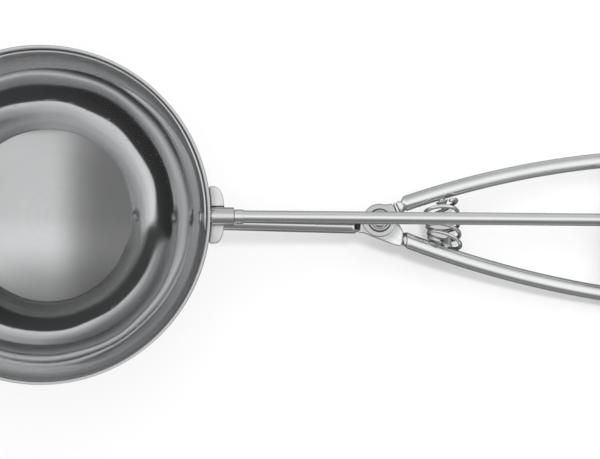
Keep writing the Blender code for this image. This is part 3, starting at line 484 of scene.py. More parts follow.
def build_saddle():
    """A rounded plate under the ferrule, and a flange that follows the bowl downwards."""
    rounding = 0.5
    turn = np.linspace(-np.pi / 2, np.pi / 2, 61)
    y = SADDLE_Y + SADDLE_HALF_WIDTH * raised(np.sin(turn), rounding)
    reach = SADDLE_REACH * np.maximum(np.cos(turn), 0) ** rounding
    outer = columns(np.sqrt(SADDLE_R**2 - y**2) + reach, y)
    low_corner = math.asin((SADDLE_Y - SADDLE_HALF_WIDTH) / SADDLE_R)
    high_corner = math.asin((SADDLE_Y + SADDLE_HALF_WIDTH) / SADDLE_R)
    back = np.linspace(high_corner, low_corner, 40)[1:-1]
    inner = SADDLE_R * columns(np.cos(back), np.sin(back))
    outline = np.vstack((outer, inner))
    saddle = plate("saddle_bracket", outline, SADDLE_TOP - SADDLE_PLATE_T, SADDLE_TOP, 0.35)
    start = math.asin(-SADDLE_TOP / SADDLE_R) + math.radians(0.6)
    t = np.linspace(0, 1, 30)[:, None]
    down = start + (SADDLE_DROP - start) * t
    half = (high_corner - low_corner) / 2 * (0.97 - 0.45 * t**3)
    side = (low_corner + high_corner) / 2 + half * np.linspace(-1, 1, 40)
    faces = []
    for radius, way in ((SADDLE_R + SADDLE_FLANGE_T, 1), (SADDLE_R, -1)):
        a = side[:, ::way]
        flat = radius * np.cos(down)
        faces.append(columns(flat * np.cos(a), flat * np.sin(a), -radius * np.sin(down)))
    flange = surface("saddle_flange", np.concatenate(faces, axis=1))
    return boolean(saddle, flange, operation="UNION")


def build_ferrule():
    return ring(
        "shaft_ferrule_tube", BORE_R, FERRULE_R, 0, FERRULE_LENGTH, 0.22,
        basis=TO_HANDLES, at=(FERRULE_X, 0, 0), grain="rows",
    )


def build_blade():
    """Rows by arc length from pole to pole, each a flat oval across the strip.

    The half width is the eye's circle past the poles, then a smooth step up to the full width.
    """
    quarter = BLADE_OUT * np.pi / 2
    eye = quarter + BLADE_EYE_R * np.sin(np.radians(np.linspace(4, 89, 26)))
    arc = np.concatenate((-eye[::-1], np.linspace(-quarter, quarter, 360), eye))
    left = quarter - np.abs(arc)
    t = np.clip(left / BLADE_TAPER, 0, 1)
    widening = BLADE_EYE_R + (BLADE_W / 2 - BLADE_EYE_R) * t * t * (3 - 2 * t)
    circle = np.sqrt(np.maximum(BLADE_EYE_R**2 - left**2, 0))
    half = np.where(left <= 0, circle, widening)[:, None]
    face = np.linspace(-1, 1, 15)
    turn = np.linspace(0, np.pi, 9)[1:-1]
    edge = np.minimum(BLADE_T / 2, half)
    core = np.maximum(half - edge, 0)
    bulge = np.sin(turn) ** 0.6
    lift = raised(np.cos(turn), 0.6)
    side = np.hstack((core * face, core + edge * bulge, core * face[::-1], -core - edge * bulge))
    ones = np.ones(15)
    depth = (BLADE_OUT + BLADE_IN) / 2 + BLADE_T / 2 * np.concatenate((ones, lift, -ones, -lift))
    lean = (side / BLADE_OUT)[..., None]
    angle = (arc / BLADE_OUT)[:, None, None]
    outward = np.array([0, math.cos(BLADE_REST), -math.sin(BLADE_REST)])
    across = np.array([0, math.sin(BLADE_REST), math.cos(BLADE_REST)])
    along = np.array([1.0, 0, 0])
    middle = np.sin(angle) * along + np.cos(angle) * outward
    grid = depth[:, None] * (np.cos(lean) * middle + np.sin(lean) * across)
    blade = surface("wiper_strip", grid)
    shaft_eye = drill(TENON_R + GAP, 4, TO_HANDLES, (BLADE_IN, 0, 0))
    nose_eye = drill(NOSE_PIN_R + GAP, 4, TO_NOSE, (-BLADE_IN, 0, 0))
    return boolean(blade, shaft_eye, nose_eye)


def build_washer(name, bore, basis):
    low = BLADE_IN - GAP - BLADE_WASHER_T
    return ring(name, bore, BLADE_WASHER_R, low, BLADE_IN - GAP, 0.12, basis=basis, steps=64)


def build_shaft():
    """One turned rod: peened head, tenon in the blade, collar, and a groove for the clip."""
    head = BLADE_IN - BLADE_WASHER_T - 2 * GAP
    shoulder = BLADE_OUT + GAP
    collar_end = COLLAR_X + COLLAR_LENGTH
    groove, groove_end = CLIP_X - GAP, CLIP_X + CLIP_T + GAP
    turn = np.linspace(0, np.pi / 2, 10)
    dome = columns(PIVOT_HEAD_R * np.sin(turn), head - 0.4 * HEAD_T - 0.6 * HEAD_T * np.cos(turn))
    body = [
        (PIVOT_HEAD_R, head), (TENON_R, head), (TENON_R, shoulder), (SHAFT_R, shoulder),
        (SHAFT_R, COLLAR_X), (COLLAR_R, COLLAR_X), (COLLAR_R, collar_end), (SHAFT_R, collar_end),
        (SHAFT_R, groove), (CLIP_GROOVE_R, groove), (CLIP_GROOVE_R, groove_end),
        (SHAFT_R, groove_end), (SHAFT_R, SHAFT_END_X), (0, SHAFT_END_X),
    ]
    profile = np.vstack((dome, rounded(body, 0.16)))
    return turned("wiper_shaft_rod", profile, TO_HANDLES, grain="rows")


def build_nose_pin():
    low = BLADE_IN - BLADE_WASHER_T - 2 * GAP
    high = BOWL_OUT + GAP
    sizes = (NOSE_PIN_R, NOSE_HEAD_R, HEAD_T, low, high)
    return rivet("nose_rivet", *sizes, TO_NOSE, (0, 0, 0), PIVOT_HEAD_R, 64)


# Forged plates: x beyond the pivot, upper and lower y as shares of the eye's radius, flatness
FIXED_PLATE = (
    (-4.8, 0.40, -0.79, 1.0), (-2.9, 0.78, -0.95, 1.0), (0, 0.93, -1.13, 1.0),
    (3.0, 0.75, -1.33, 1.0), (5.4, 0.15, -1.48, 1.0), (6.9, -0.32, -1.53, 1.0),
    (8.2, -0.70, -1.52, 0.7),
)
FIXED_PLATE_ENDS = ((9.2, 0.1), (10.2, 0.0))  # where it is the round rod again
SQUEEZE_PLATE = (
    (0, 1.0, -1.0, 1.0), (0.40 * EYE_R, 0.965, -math.sqrt(1 - 0.40**2), 1.0),
    (0.75 * EYE_R, 1.02, -math.sqrt(1 - 0.75**2), 1.0),
    (0.93 * EYE_R, 1.09, -math.sqrt(1 - 0.93**2), 0.95),
    (6.1, 1.15, 0.10, 0.75), (7.0, 1.24, 0.42, 0.4),
)
SQUEEZE_PLATE_ENDS = ((7.9, 0.05), (8.6, 0.0))
NECK = (  # the fixed rod's end: x beyond the pivot, upper and lower y from the neck's, flatness
    (-9.4, ROD_R, -ROD_R, 0.0), (-8.4, ROD_R, -ROD_R, 0.0), (-7.2, 1.9, -2.0, 0.75),
    (-6.2, 2.4, -2.2, 1.0),
)


def plate_table(plate_rows, arc, ends):
    """(x, upper y, lower y, flatness) of a forged plate, up to the round rod on its arc."""
    table = [
        (PIVOT_X + x, PIVOT_Y + upper * EYE_R, PIVOT_Y + lower * EYE_R, flatness)
        for x, upper, lower, flatness in plate_rows
    ]
    half = half_width(arc, PIVOT_X + ends[-1][0])
    for x, flatness in ends:
        y = grip_y(arc, PIVOT_X + x)
        table.append((PIVOT_X + x, y + half, y - half, flatness))
    return table


def flat_sections(x, upper, lower, flatness, plate_top, plate_bottom):
    """From the round rod, at flatness 0, to the forged plate, at flatness 1."""
    f = np.clip(flatness, 0, 1)
    top = ROD_TOP + (plate_top - ROD_TOP) * f
    bottom = ROD_BOTTOM + (plate_bottom - ROD_BOTTOM) * f
    return sections(x, upper, lower, top, bottom, 2.0 + 4.5 * f)


def build_fixed_handle():
    """Rod from the bowl, forged plate at the pivot and bowed grip, in one forging."""
    neck = [
        (PIVOT_X + x, NECK_Y + upper, NECK_Y + lower, flatness)
        for x, upper, lower, flatness in NECK
    ]
    table = neck + plate_table(FIXED_PLATE, FIXED_ARC, FIXED_PLATE_ENDS)
    left, right = table[0][0], table[-1][0]
    x = np.linspace(FIXED_ROD_X, left, 80)[:-1]
    y = BOWL_END_Y + (NECK_Y - BOWL_END_Y) * (x - FIXED_ROD_X) / (left - FIXED_ROD_X)
    rod = sections(x, y + ROD_R, y - ROD_R, ROD_TOP, ROD_BOTTOM, 2.0)
    x = np.linspace(left, right, 360)
    forged = flat_sections(x, *curve_through(table, x), ROD_BOTTOM + PLATE_T, ROD_BOTTOM)
    forged = grooved(forged, FIXED_GROOVES, FIXED_LEAN)
    grid = np.concatenate((rod, forged, grip_sections(FIXED_ARC, right)[1:]))
    grid = seat_flat(grid, CHEEK_NEAR_X - GAP, CAGE_END_X + GAP, CAGE_SEAT)
    return boolean(surface("fixed_handle_forging", grid), drill(RIVET_R + GAP, 12))


def build_squeeze_handle():
    """Round eye on the pivot, then a bowed grip that mirrors the fixed one."""
    top, bottom = ROD_TOP, ROD_TOP - PLATE_T
    turn = np.radians(np.linspace(1.5, 88, 46))
    x = PIVOT_X - EYE_R * np.cos(turn)
    half = EYE_R * np.sin(turn)
    eye = flat_sections(x, PIVOT_Y + half, PIVOT_Y - half, 1.0, top, bottom)
    table = plate_table(SQUEEZE_PLATE, SQUEEZE_ARC, SQUEEZE_PLATE_ENDS)
    x = np.linspace(PIVOT_X, table[-1][0], 260)
    forged = flat_sections(x, *curve_through(table, x), top, bottom)
    forged = grooved(forged, SQUEEZE_GROOVES, SQUEEZE_LEAN)
    grid = np.concatenate((eye, forged, grip_sections(SQUEEZE_ARC, table[-1][0])[1:]))
    tab_x = tab_outline()[:, 0]
    grid = seat_flat(grid, tab_x.min() - GAP, tab_x.max() + GAP, TAB_SEAT)
    return boolean(surface("squeeze_handle_forging", grid), drill(RIVET_R + GAP, 12))


def build_pivot_rivet():
    """A rivet whose head has a rolled rim, a groove and a low dome, above and below."""
    shape = (  # shares of the head's radius and height
        (0, 1.0), (0.42, 0.94), (0.60, 0.62), (0.70, 0.42), (0.82, 0.66), (0.92, 0.60),
        (1.0, 0.30), (1.0, 0),
    )
    grip = ROD_R + GAP
    head = [(radius * RIVET_HEAD_R, grip + height * HEAD_T) for radius, height in shape]
    head.append((RIVET_R, grip))
    tail = [(radius, -height) for radius, height in head[::-1]]
    return turned("pivot_rivet_body", rounded(head + tail, 0.3), at=PIVOT, sharp=60)


def build_pivot_washer():
    half = WASHER_T / 2
    return ring("pivot_washer_ring", RIVET_R + GAP, RIVET_HEAD_R, -half, half, 0.08, at=PIVOT)


def spring_path():
    """A helix round the Y direction that climbs from the fixed rod to the squeeze rod.

    x and z are the coil's radius times cosine and sine; y is a share of the way between the rods
    at that x, so the turns fan out with the rods, and the first turn lies close to its rod.
    """
    turns = np.linspace(0, SPRING_TURNS, 560)
    share, = curve_through(SPRING_SHARES, turns / SPRING_TURNS)
    angle = 2 * np.pi * turns + SPRING_START
    x = SPRING_X + 0.4 + SPRING_LEAN * (1 - share) + SPRING_R * np.cos(angle)
    inset = WIRE_R / ROD_R * half_width(SQUEEZE_ARC, SPRING_X) + GAP
    low = grip_y(FIXED_ARC, x) + half_width(FIXED_ARC, x) + inset
    high = grip_y(SQUEEZE_ARC, x) - half_width(SQUEEZE_ARC, x) - inset
    rise = SPRING_R * np.sin(angle)
    tilt = SPRING_TILT * rise * np.clip(np.minimum(turns, SPRING_TURNS - turns) / 0.5, 0, 1)
    path = columns(x, low + (high - low) * share + tilt, HANDLE_Z + rise)
    outward = columns(np.cos(angle), 0, np.sin(angle))
    return path, outward


def build_spring():
    path, outward = spring_path()
    return tube("return_spring_wire", path, WIRE_R, outward)


def build_peg(name, arc, side):
    """A riveted stud on the rod's inner side; side is 1 on the fixed rod, -1 on the other."""
    x = SPRING_X + (SPRING_LEAN if side > 0 else 0)
    slope = grip_slope(arc, x)
    axis = side * np.array([-math.sin(slope), math.cos(slope), 0])
    across = np.array([0, 0, 1.0])
    basis = np.stack((across, np.cross(axis, across), axis))
    seat = ROD_R + GAP
    cone = [(0, 0.85), (0.25, 0.83), (0.45, 0.65), (0.70, 0.28), (1.0, 0.12), (1.0, 0)]
    profile = [(radius * PEG_R, seat + height * PEG_LENGTH) for radius, height in cone]
    profile += [(PEG_TENON_R, seat), (PEG_TENON_R, 0.5 * ROD_R), (0, 0.5 * ROD_R)]
    return turned(name, rounded(profile, 0.25), basis, (x, grip_y(arc, x), HANDLE_Z), 64)


def pinion_outline():
    """Involute teeth: a tooth's half angle is that at the pitch line plus the involute's roll."""
    base = PINION_R * math.cos(PRESSURE)
    root = PINION_R - TOOTH_ROOT
    radius = np.linspace(base, PINION_R + PINION_ADDENDUM, 9)
    half_pitch = (math.pi * GEAR_MODULE / 2 - TOOTH_PLAY) / 2 / PINION_R
    lean = np.arccos(base / radius)
    half = half_pitch + math.tan(PRESSURE) - PRESSURE - (np.tan(lean) - lean)
    radius = np.concatenate(([root, 0.6 * root + 0.4 * base], radius))
    half = np.concatenate(([half[0] + math.radians(2.5), half[0] + math.radians(0.6)], half))
    centres = -np.pi / 2 + 2 * np.pi * np.arange(PINION_TEETH)[:, None] / PINION_TEETH
    angles = np.hstack((centres - half, centres + half[::-1]))
    radii = np.tile(np.concatenate((radius, radius[::-1])), PINION_TEETH)
    return angles.ravel(), radii


def build_pinion():
    """Each row runs bore, hub, tooth and back to the bore, at one angle of the toothed outline."""
    angle, radius = pinion_outline()
    face = HUB_X + HUB_LENGTH
    end = face + PINION_FACE
    break_ = 0.15
    along = np.array(
        [HUB_X, HUB_X, HUB_X + break_, face, face, face + break_, end - break_, end, end]
    )
    fixed = np.array([BORE_R, HUB_R - break_, HUB_R, HUB_R])
    tip = radius[:, None] - np.array([break_, 0, 0, break_])
    tip = np.maximum(tip, HUB_R + 0.05)
    bore = np.full((len(angle), 1), BORE_R)
    radii = np.hstack((np.broadcast_to(fixed, (len(angle), 4)), tip, bore))
    a = angle[:, None]
    grid = columns(along, radii * np.cos(a), radii * np.sin(a))
    return surface("drive_pinion_gear", grid, True, "cols", 25)


def build_pinion_pin():
    profile = rounded([(0, HUB_R), (PIN_R, HUB_R), (PIN_R, -HUB_R), (0, -HUB_R)], 0.15)
    return turned("pinion_cross_pin", profile, at=(HUB_X + HUB_LENGTH / 2, 0, 0), steps=32)


def polar(radius, angle):
    """Points in plan, by distance and bearing from the pivot."""
    return columns(PIVOT_X + radius * np.cos(angle), PIVOT_Y + radius * np.sin(angle))


def arc_outline(radius_in, radius_out, start, end, steps=24):
    angle = np.linspace(start, end, steps)
    return np.vstack((polar(radius_out, angle), polar(radius_in, angle[::-1])))


def tab_bearings():
    y = grip_y(SQUEEZE_ARC, PIVOT_X + 0.97 * RACK_R)
    return (
        math.asin((y - 1.15 * ROD_R - PIVOT_Y) / RACK_R),
        math.asin((y + 1.05 * ROD_R - PIVOT_Y) / RACK_R),
    )


def tab_outline():
    start, end = tab_bearings()
    return arc_outline(RACK_R - TAB_WIDTH / 2, RACK_R + TAB_WIDTH / 2, start, end)


def build_rack():
    """Teeth as (bearing, height) stations on an arc round the pivot, each a bevelled section."""
    pitch = math.pi * GEAR_MODULE / RACK_R
    half = (math.pi * GEAR_MODULE / 2 - TOOTH_PLAY) / 2
    slant = math.tan(PRESSURE)
    foot = (half + TOOTH_ROOT * slant) / RACK_R
    crest = (half - RACK_ADDENDUM * slant) / RACK_R
    crest_z = -PINION_R + RACK_ADDENDUM
    teeth = np.arange(-RACK_TEETH_BEFORE, RACK_TEETH_AFTER) + 0.5
    centres = math.atan2(-PIVOT_Y, RACK_R) + teeth * pitch
    bearings = (centres[:, None] + np.array([-foot, -crest, crest, foot])).ravel()
    heights = np.tile([RACK_TOP, crest_z, crest_z, RACK_TOP], len(centres))
    stop_start = math.asin((-CAGE_HALF_WIDTH - GAP - PIVOT_Y) / (RACK_R - RACK_WIDTH))
    stop_end = stop_start - STOP_T / RACK_R
    tab_start, _ = tab_bearings()
    tail = np.linspace(bearings[-1], tab_start + 0.4 * ROD_R / RACK_R, 12)[1:]
    bearings = np.concatenate(([stop_end * 0.7 + stop_start * 0.3], bearings, tail))
    heights = np.concatenate(([RACK_TOP], heights, np.full(len(tail), RACK_TOP)))
    line = rounded(columns(bearings * RACK_R, heights), 0.1, 4)
    bearings, heights = line[:, 0] / RACK_R, line[:, 1]
    break_ = 0.15
    inner, outer = RACK_R - RACK_WIDTH / 2, RACK_R + RACK_WIDTH / 2
    inner_break, outer_break = inner + break_, outer - break_
    radius = np.array(
        [inner_break, outer_break, outer, outer, outer_break, inner_break, inner, inner]
    )
    low = RACK_BOTTOM + np.array([0, 0, break_, 0, 0, 0, 0, break_])
    top = np.array([0, 0, 0, 1, 1, 1, 1, 0])
    drop = np.array([0, 0, 0, break_, 0, 0, break_, 0])
    z = np.where(top == 1, heights[:, None] - drop, low)
    plan = polar(radius[None], bearings[:, None])
    rack = surface("drive_rack_arc", np.concatenate((plan, z[..., None]), axis=2), sharp=25)
    near = RACK_R - (GEAR_X - CHEEK_NEAR_X) + GAP
    far = RACK_R + (CAGE_END_X - GEAR_X) - GAP
    stop_plan = rounded(arc_outline(near, far, stop_end, stop_start, 4), 0.4, ring=True)
    tab_plan = rounded(tab_outline(), 0.1, 3, True)
    sunk = 0.02  # no face of theirs lies in a face of the rack, so that they join
    for name, plan in (("rack_stop", stop_plan), ("rack_tab", tab_plan)):
        end = plate(name, plan, RACK_BOTTOM + sunk, RACK_TOP - sunk, 0.12)
        rack = boolean(rack, end, operation="UNION", sharp=25)
    return rack


def rivet_places(middle):
    return (middle - RIVET_PITCH / 2, middle + RIVET_PITCH / 2)


def build_small_rivet(name, arc, x, plate_top):
    at = (x, grip_y(arc, x), 0)
    low, high = ROD_BOTTOM - GAP, plate_top + GAP
    return rivet(name, SMALL_RIVET_R, SMALL_HEAD_R, SMALL_HEAD_T, low, high, UPRIGHT, at)


def build_cage():
    """A web under the rack and two round-topped cheeks that carry the shaft."""
    near, far = CAGE_HALF_WIDTH, grip_y(FIXED_ARC, CAGE_MIDDLE) - 0.85 * ROD_R
    corners = [(CHEEK_NEAR_X, near), (CHEEK_NEAR_X, far), (CAGE_END_X, far), (CAGE_END_X, near)]
    web = rounded(corners, 1.4, 10, True)
    cage = plate("bearing_cage_frame", web, WEB_BOTTOM, WEB_TOP, 0.15)
    turn = np.linspace(0, np.pi, 40)
    top = CAGE_HALF_WIDTH * columns(np.cos(turn), np.sin(turn))
    foot = WEB_BOTTOM + CAGE_T / 2
    cheek = np.vstack((top, [(-CAGE_HALF_WIDTH, foot), (CAGE_HALF_WIDTH, foot)]))
    sideways = np.array([[0, 1, 0], [0, 0, 1], [1, 0, 0]], float)
    cheeks = [
        plate(f"cheek_{i}", cheek, 0, CAGE_T, 0.18, sideways, (x, 0, 0))
        for i, x in enumerate((CHEEK_NEAR_X, CHEEK_FAR_X))
    ]
    cage = boolean(cage, *cheeks, operation="UNION")
    return boolean(cage, drill(BORE_R, 24, TO_HANDLES, (CAGE_MIDDLE, 0, 0)))


def build_clip():
    """A flat spring clip, open on one side."""
    opening = math.radians(35)
    sweep = np.linspace(opening, 2 * np.pi - opening, 60)[:, None]
    circle = np.hstack((np.cos(sweep), np.sin(sweep)))
    outline = np.vstack((CLIP_R * circle, (CLIP_GROOVE_R + GAP) * circle[::-1]))
    return plate("shaft_clip", outline, 0, CLIP_T, 0.1, TO_HANDLES, (CLIP_X, 0, 0))


def feed(tree, made, values):
    """Fills a node's sockets with numbers, or links them to other nodes' outputs."""
    for key, value in values.items():
        if isinstance(value, bpy.types.NodeSocket):
            tree.links.new(value, made.inputs[key])
        else:
            made.inputs[key].default_value = value


def node(tree, kind, values=None, **settings):
    made = tree.nodes.new("ShaderNode" + kind)
    for setting, value in settings.items():
        setattr(made, setting, value)
    feed(tree, made, values or {})
    return made


def out(tree, kind, values=None, **settings):
    """Adds a node and gives its first output."""
    return node(tree, kind, values, **settings).outputs[0]


def maths(tree, operation, *values):
    return out(tree, "Math", dict(enumerate(values)), operation=operation)


def measure(tree, operation, first, second):
    """The number that two vectors give."""
    return node(tree, "VectorMath", {0: first, 1: second}, operation=operation).outputs["Value"]


def mix(tree, share, first, second):
    return out(tree, "Mix", {"Factor": share, 2: first, 3: second})


def spread(tree, value, low, high, to_low=0.0, to_high=1.0):
    """Maps a value from one range to another and clamps it there."""
    return out(tree, "MapRange", {0: value, 1: low, 2: high, 3: to_low, 4: to_high}, clamp=True)


def new_group(name, inputs):
    """A node group; an input without a value is a vector."""
    group = bpy.data.node_groups.new(name, "ShaderNodeTree")
    for label, value in inputs.items():
        kind = "NodeSocketVector" if value is None else "NodeSocketFloat"
        socket = group.interface.new_socket(label, in_out="INPUT", socket_type=kind)
        if value is not None:
            socket.default_value = value
    return group, group.nodes.new("NodeGroupInput").outputs


def close_group(group, results):
    for label in results:
        group.interface.new_socket(label, in_out="OUTPUT", socket_type="NodeSocketFloat")
    feed(group, group.nodes.new("NodeGroupOutput"), results)
    return group


def tool_lines_group():
    """Fine lines left by drawing, spinning or grinding: noise stretched along the grain (U)."""
    group, given = new_group("tool_lines", {"UV": None, "Across": 3000.0, "Along": 30.0})
    scale = out(group, "CombineXYZ", {"X": given["Along"], "Y": given["Across"]})
    fine = out(group, "VectorMath", {0: given["UV"], 1: scale}, operation="MULTIPLY")
    wide = out(group, "VectorMath", {0: fine, 1: (0.35, 0.12, 1.0)}, operation="MULTIPLY")
    results = {}
    for label, vector, detail in (("Lines", fine, 2.0), ("Bands", wide, 3.0)):
        values = {"Vector": vector, "Scale": 1.0, "Detail": detail, "Roughness": 0.6}
        noise = out(group, "TexNoise", values, noise_dimensions="2D")
        results[label] = spread(group, noise, 0.3, 0.7)
    return close_group(group, results)


def handling_group():
    """Marks of use: soft mottling, and hairline scratches where two long thin noises peak."""
    group, given = new_group("handling_marks", {"Position": None, "Scale": 60.0})
    where = given["Position"]
    mottle = {"Vector": where, "Scale": given["Scale"], "Detail": 4.0, "Roughness": 0.55}
    peaks = []
    for turn, stretch in ((0.5, (40.0, 1500.0, 900.0)), (2.2, (1300.0, 35.0, 800.0))):
        values = {"Vector": where, "Rotation": (0.3, 0.2, turn), "Scale": stretch}
        thin = out(group, "Mapping", values)
        noise = out(group, "TexNoise", {"Vector": thin, "Scale": 1.0, "Detail": 1.0})
        peaks.append(spread(group, noise, 0.70, 0.78))
    return close_group(group, {
        "Mottle": spread(group, out(group, "TexNoise", mottle), 0.3, 0.7),
        "Scratches": maths(group, "MAXIMUM", *peaks),
        "Waves": out(group, "TexNoise", {"Vector": where, "Scale": 28.0, "Detail": 1.0}),
    })


TOOL_LINES = tool_lines_group()
HANDLING = handling_group()
MOTTLE_ROUGH = 0.35  # share of a finish's own roughness that mottling adds
SCRATCH_ROUGH = 0.08
SCRATCH_DEPTH = -6.0  # against the tool lines' height
DARKEST = 0.04  # share of the tone left where painted shade in a crease or groove is darkest


def steel(name, tone, rough, across, along, line_rough, line_height, stretch=0.0, waves=0.0,
          zone=None, metal=1.0, uneven=0.06):
    """Stainless steel: its tone, tool lines and marks of use drive colour, roughness and bump.

    A zone is what finds it on the surface, then the roughness it adds, its metal and its tone; on
    the handles, the saddle and the coil that tone also paints shade.
    """
    material = bpy.data.materials.new(name)
    material.use_nodes = True
    tree = material.node_tree
    shader = tree.nodes["Principled BSDF"]
    shader.inputs["Metallic"].default_value = metal
    where = node(tree, "TexCoord").outputs
    given = {"UV": where["UV"], "Across": across, "Along": along}
    lines = node(tree, "Group", given, node_tree=TOOL_LINES).outputs
    marks = node(tree, "Group", {"Position": where["Object"]}, node_tree=HANDLING).outputs
    bands = maths(tree, "MULTIPLY", lines["Bands"], 0.6)
    shade = maths(tree, "ADD", bands, maths(tree, "MULTIPLY", marks["Mottle"], 0.4))
    ramp = node(tree, "ValToRGB", {"Fac": shade})
    for stop, share in zip(ramp.color_ramp.elements, (1 - uneven, 1 + uneven)):
        stop.color = [*(min(1.0, channel * share) for channel in tone), 1.0]
    colour = ramp.outputs[0]
    roughness = rough
    for mark, share in (
        (lines["Lines"], line_rough), (marks["Mottle"], MOTTLE_ROUGH * rough),
        (marks["Scratches"], SCRATCH_ROUGH),
    ):
        roughness = maths(tree, "MULTIPLY_ADD", mark, share, roughness)
    if zone:
        find, zone_rough, zone_metal, zone_tone = zone
        in_zone = find(tree, where)
        roughness = maths(tree, "MULTIPLY_ADD", in_zone, zone_rough, roughness)
        if zone_metal < metal:
            feed(tree, shader, {"Metallic": spread(tree, in_zone, 0.0, 1.0, metal, zone_metal)})
        # The zone's tone scales the colour: the forged plates' own finish, and painted shade in
        # creases, grooves, along the ferrule and on the coil's back
        share = maths(tree, "MULTIPLY_ADD", in_zone, zone_tone - 1.0, 1.0)
        share = maths(tree, "MAXIMUM", share, DARKEST)
        colour = out(tree, "VectorMath", {0: colour, "Scale": share}, operation="SCALE")
    relief = maths(tree, "MULTIPLY_ADD", marks["Scratches"], SCRATCH_DEPTH, lines["Lines"])
    bump = {"Height": relief, "Strength": 1.0, "Distance": line_height}
    if waves:
        wavy = {"Height": marks["Waves"], "Strength": 1.0, "Distance": waves}
        bump["Normal"] = out(tree, "Bump", wavy)
    feed(tree, shader, {
        "Base Color": colour, "Roughness": roughness, "Normal": out(tree, "Bump", bump),
        "Anisotropic": stretch,
    })
    return material


# Where finishes change on a piece; lengths that shaders read are in metres
RIM_ROUGH = 0.12
RIM_METAL = 0.55
RIM_ZONE = math.radians(26.0) * BOWL_R * MM
LIP_FADE = 4.0 * MM
RIVET_PAINTED_SHADE_R = MM * math.hypot(RIVET_HEAD_R + 0.15, ROD_R)  # where the rivet's edge meets the plate, a ring of painted shade
PLATE_END, ROD_START = 6.4 * MM, 8.6 * MM  # from the pivot


def bowl_rim(tree, where):
    """1 next to the lip inside, read from the way along the profile, and 0 past the rim zone."""
    lip = MM * (BOWL_OUT * math.pi / 2 + 2 * BOWL_SKIRT + BOWL_WALL)
    way = maths(tree, "SUBTRACT", node(tree, "SeparateXYZ", {0: where["UV"]}).outputs["Y"], lip)
    inside = spread(tree, way, 0.5 * RIM_ZONE, RIM_ZONE, 1.0, 0.0)
    return maths(tree, "MULTIPLY", inside, spread(tree, way, -LIP_FADE, 0.0))


def from_pivot(tree, where, axis):
    """How far along one working axis a point is from the pivot."""
    pivot = to_world(PIVOT).tolist()
    apart = out(tree, "VectorMath", {0: where["Object"], 1: pivot}, operation="SUBTRACT")
    return measure(tree, "DOT_PRODUCT", apart, AXES[axis].tolist())


def band(tree, value, middle, half, height):
    """Height where a value is at the middle, and 0 from twice the half width on."""
    apart = maths(tree, "ABSOLUTE", maths(tree, "SUBTRACT", value, middle))
    return spread(tree, apart, half, 2 * half, height, 0.0)


def plates_with(grooves, lean):
    """1 on the forged plates, by the distance from the pivot, 0 on the rods, and more in painted
    shade at the rivet's edge and in the grooves.
    """
    def zone(tree, where):
        apart = measure(tree, "DISTANCE", where["Object"], to_world(PIVOT).tolist())
        plates = spread(tree, apart, PLATE_END, ROD_START, 1.0, 0.0)
        # Painted shade: a dark ring where the rivet's edge meets the plate
        total = maths(tree, "ADD", plates, band(tree, apart, RIVET_PAINTED_SHADE_R, 0.12 * MM, 1.7))
        rise = from_pivot(tree, where, 1)
        along = maths(tree, "MULTIPLY_ADD", rise, lean, from_pivot(tree, where, 0))
        # Painted shade in each groove, as dark as its table gives
        for place, width, _, dark in grooves:
            groove = band(tree, along, MM * place, 0.45 * MM * width, dark)
            total = maths(tree, "ADD", total, groove)
        return total
    return zone


def ferrule_painted_shadow(tree, where):
    """1 on the saddle along the ferrule's squeeze side, a painted contact shadow."""
    middle = MM * (FERRULE_R + 0.25 - PIVOT_Y)
    return band(tree, from_pivot(tree, where, 1), middle, 0.22 * MM, 1.0)


def coil_back_painted_shade(tree, where):
    """1 on the coil's half away from the shaft, darkened as painted shade, and 0 on the front."""
    return spread(tree, from_pivot(tree, where, 2), -2.5 * MM, 0.5 * MM, 1.0, 0.0)


BOWL_ZONE = (bowl_rim, RIM_ROUGH, RIM_METAL, 1.0)
FIXED_ZONE = (plates_with(FIXED_GROOVES, FIXED_LEAN), 0.06, 1.0, 0.66)
SQUEEZE_ZONE = (plates_with(SQUEEZE_GROOVES, SQUEEZE_LEAN), 0.06, 1.0, 0.66)
# The saddle's tone paints a contact shadow along the ferrule
SADDLE_ZONE = (ferrule_painted_shadow, 0.1, 1.0, 0.12)
# The wire's tone paints shade on the coil's back half
COIL_ZONE = (coil_back_painted_shade, 0.10, 1.0, 0.40)

# Finishes: tone, roughness, tool lines across and along, their roughness and height, and stretch
ROD_FINISH = ((0.78, 0.785, 0.79), 0.09, 4000, 30, 0.05, 0.8e-6, 0.3)
POLISHED = steel(
    "mirror_polish", (0.79, 0.797, 0.804), 0.03, 2500, 0, 0.02, 0.4e-6, waves=0.5 * MM,
    zone=BOWL_ZONE, uneven=0.018,
)
FORGED = steel("fixed_handle_polish", *ROD_FINISH, zone=FIXED_ZONE)
LEVER = steel("squeeze_handle_polish", *ROD_FINISH, zone=SQUEEZE_ZONE)
ROD = steel("drawn_rod_polish", *ROD_FINISH)
TURNED = steel("turned_tube_polish", (0.68, 0.68, 0.685), 0.14, 5000, 60, 0.06, 1.0e-6, 0.2)
SATIN = steel(
    "satin_finish", (0.76, 0.76, 0.765), 0.24, 5000, 120, 0.10, 1.5e-6, 0.2, zone=SADDLE_ZONE
)
SATIN_PLAIN = steel("satin_plate", (0.66, 0.66, 0.665), 0.24, 5000, 60, 0.10, 1.5e-6, 0.2)
BRUSHED = steel("ground_strip", (0.74, 0.74, 0.745), 0.20, 3500, 12, 0.16, 4.0e-6, 0.5, metal=0.72)
PEENED = steel("peened_rivet", (0.56, 0.56, 0.57), 0.10, 4000, 30, 0.05, 0.8e-6, 0.2)
WIRE = steel(
    "drawn_spring_wire", (0.80, 0.805, 0.81), 0.05, 6000, 60, 0.05, 0.6e-6, 0.2, zone=COIL_ZONE
)
STUD = steel("dull_stud", (0.62, 0.62, 0.63), 0.25, 5000, 40, 0.10, 1.5e-6)
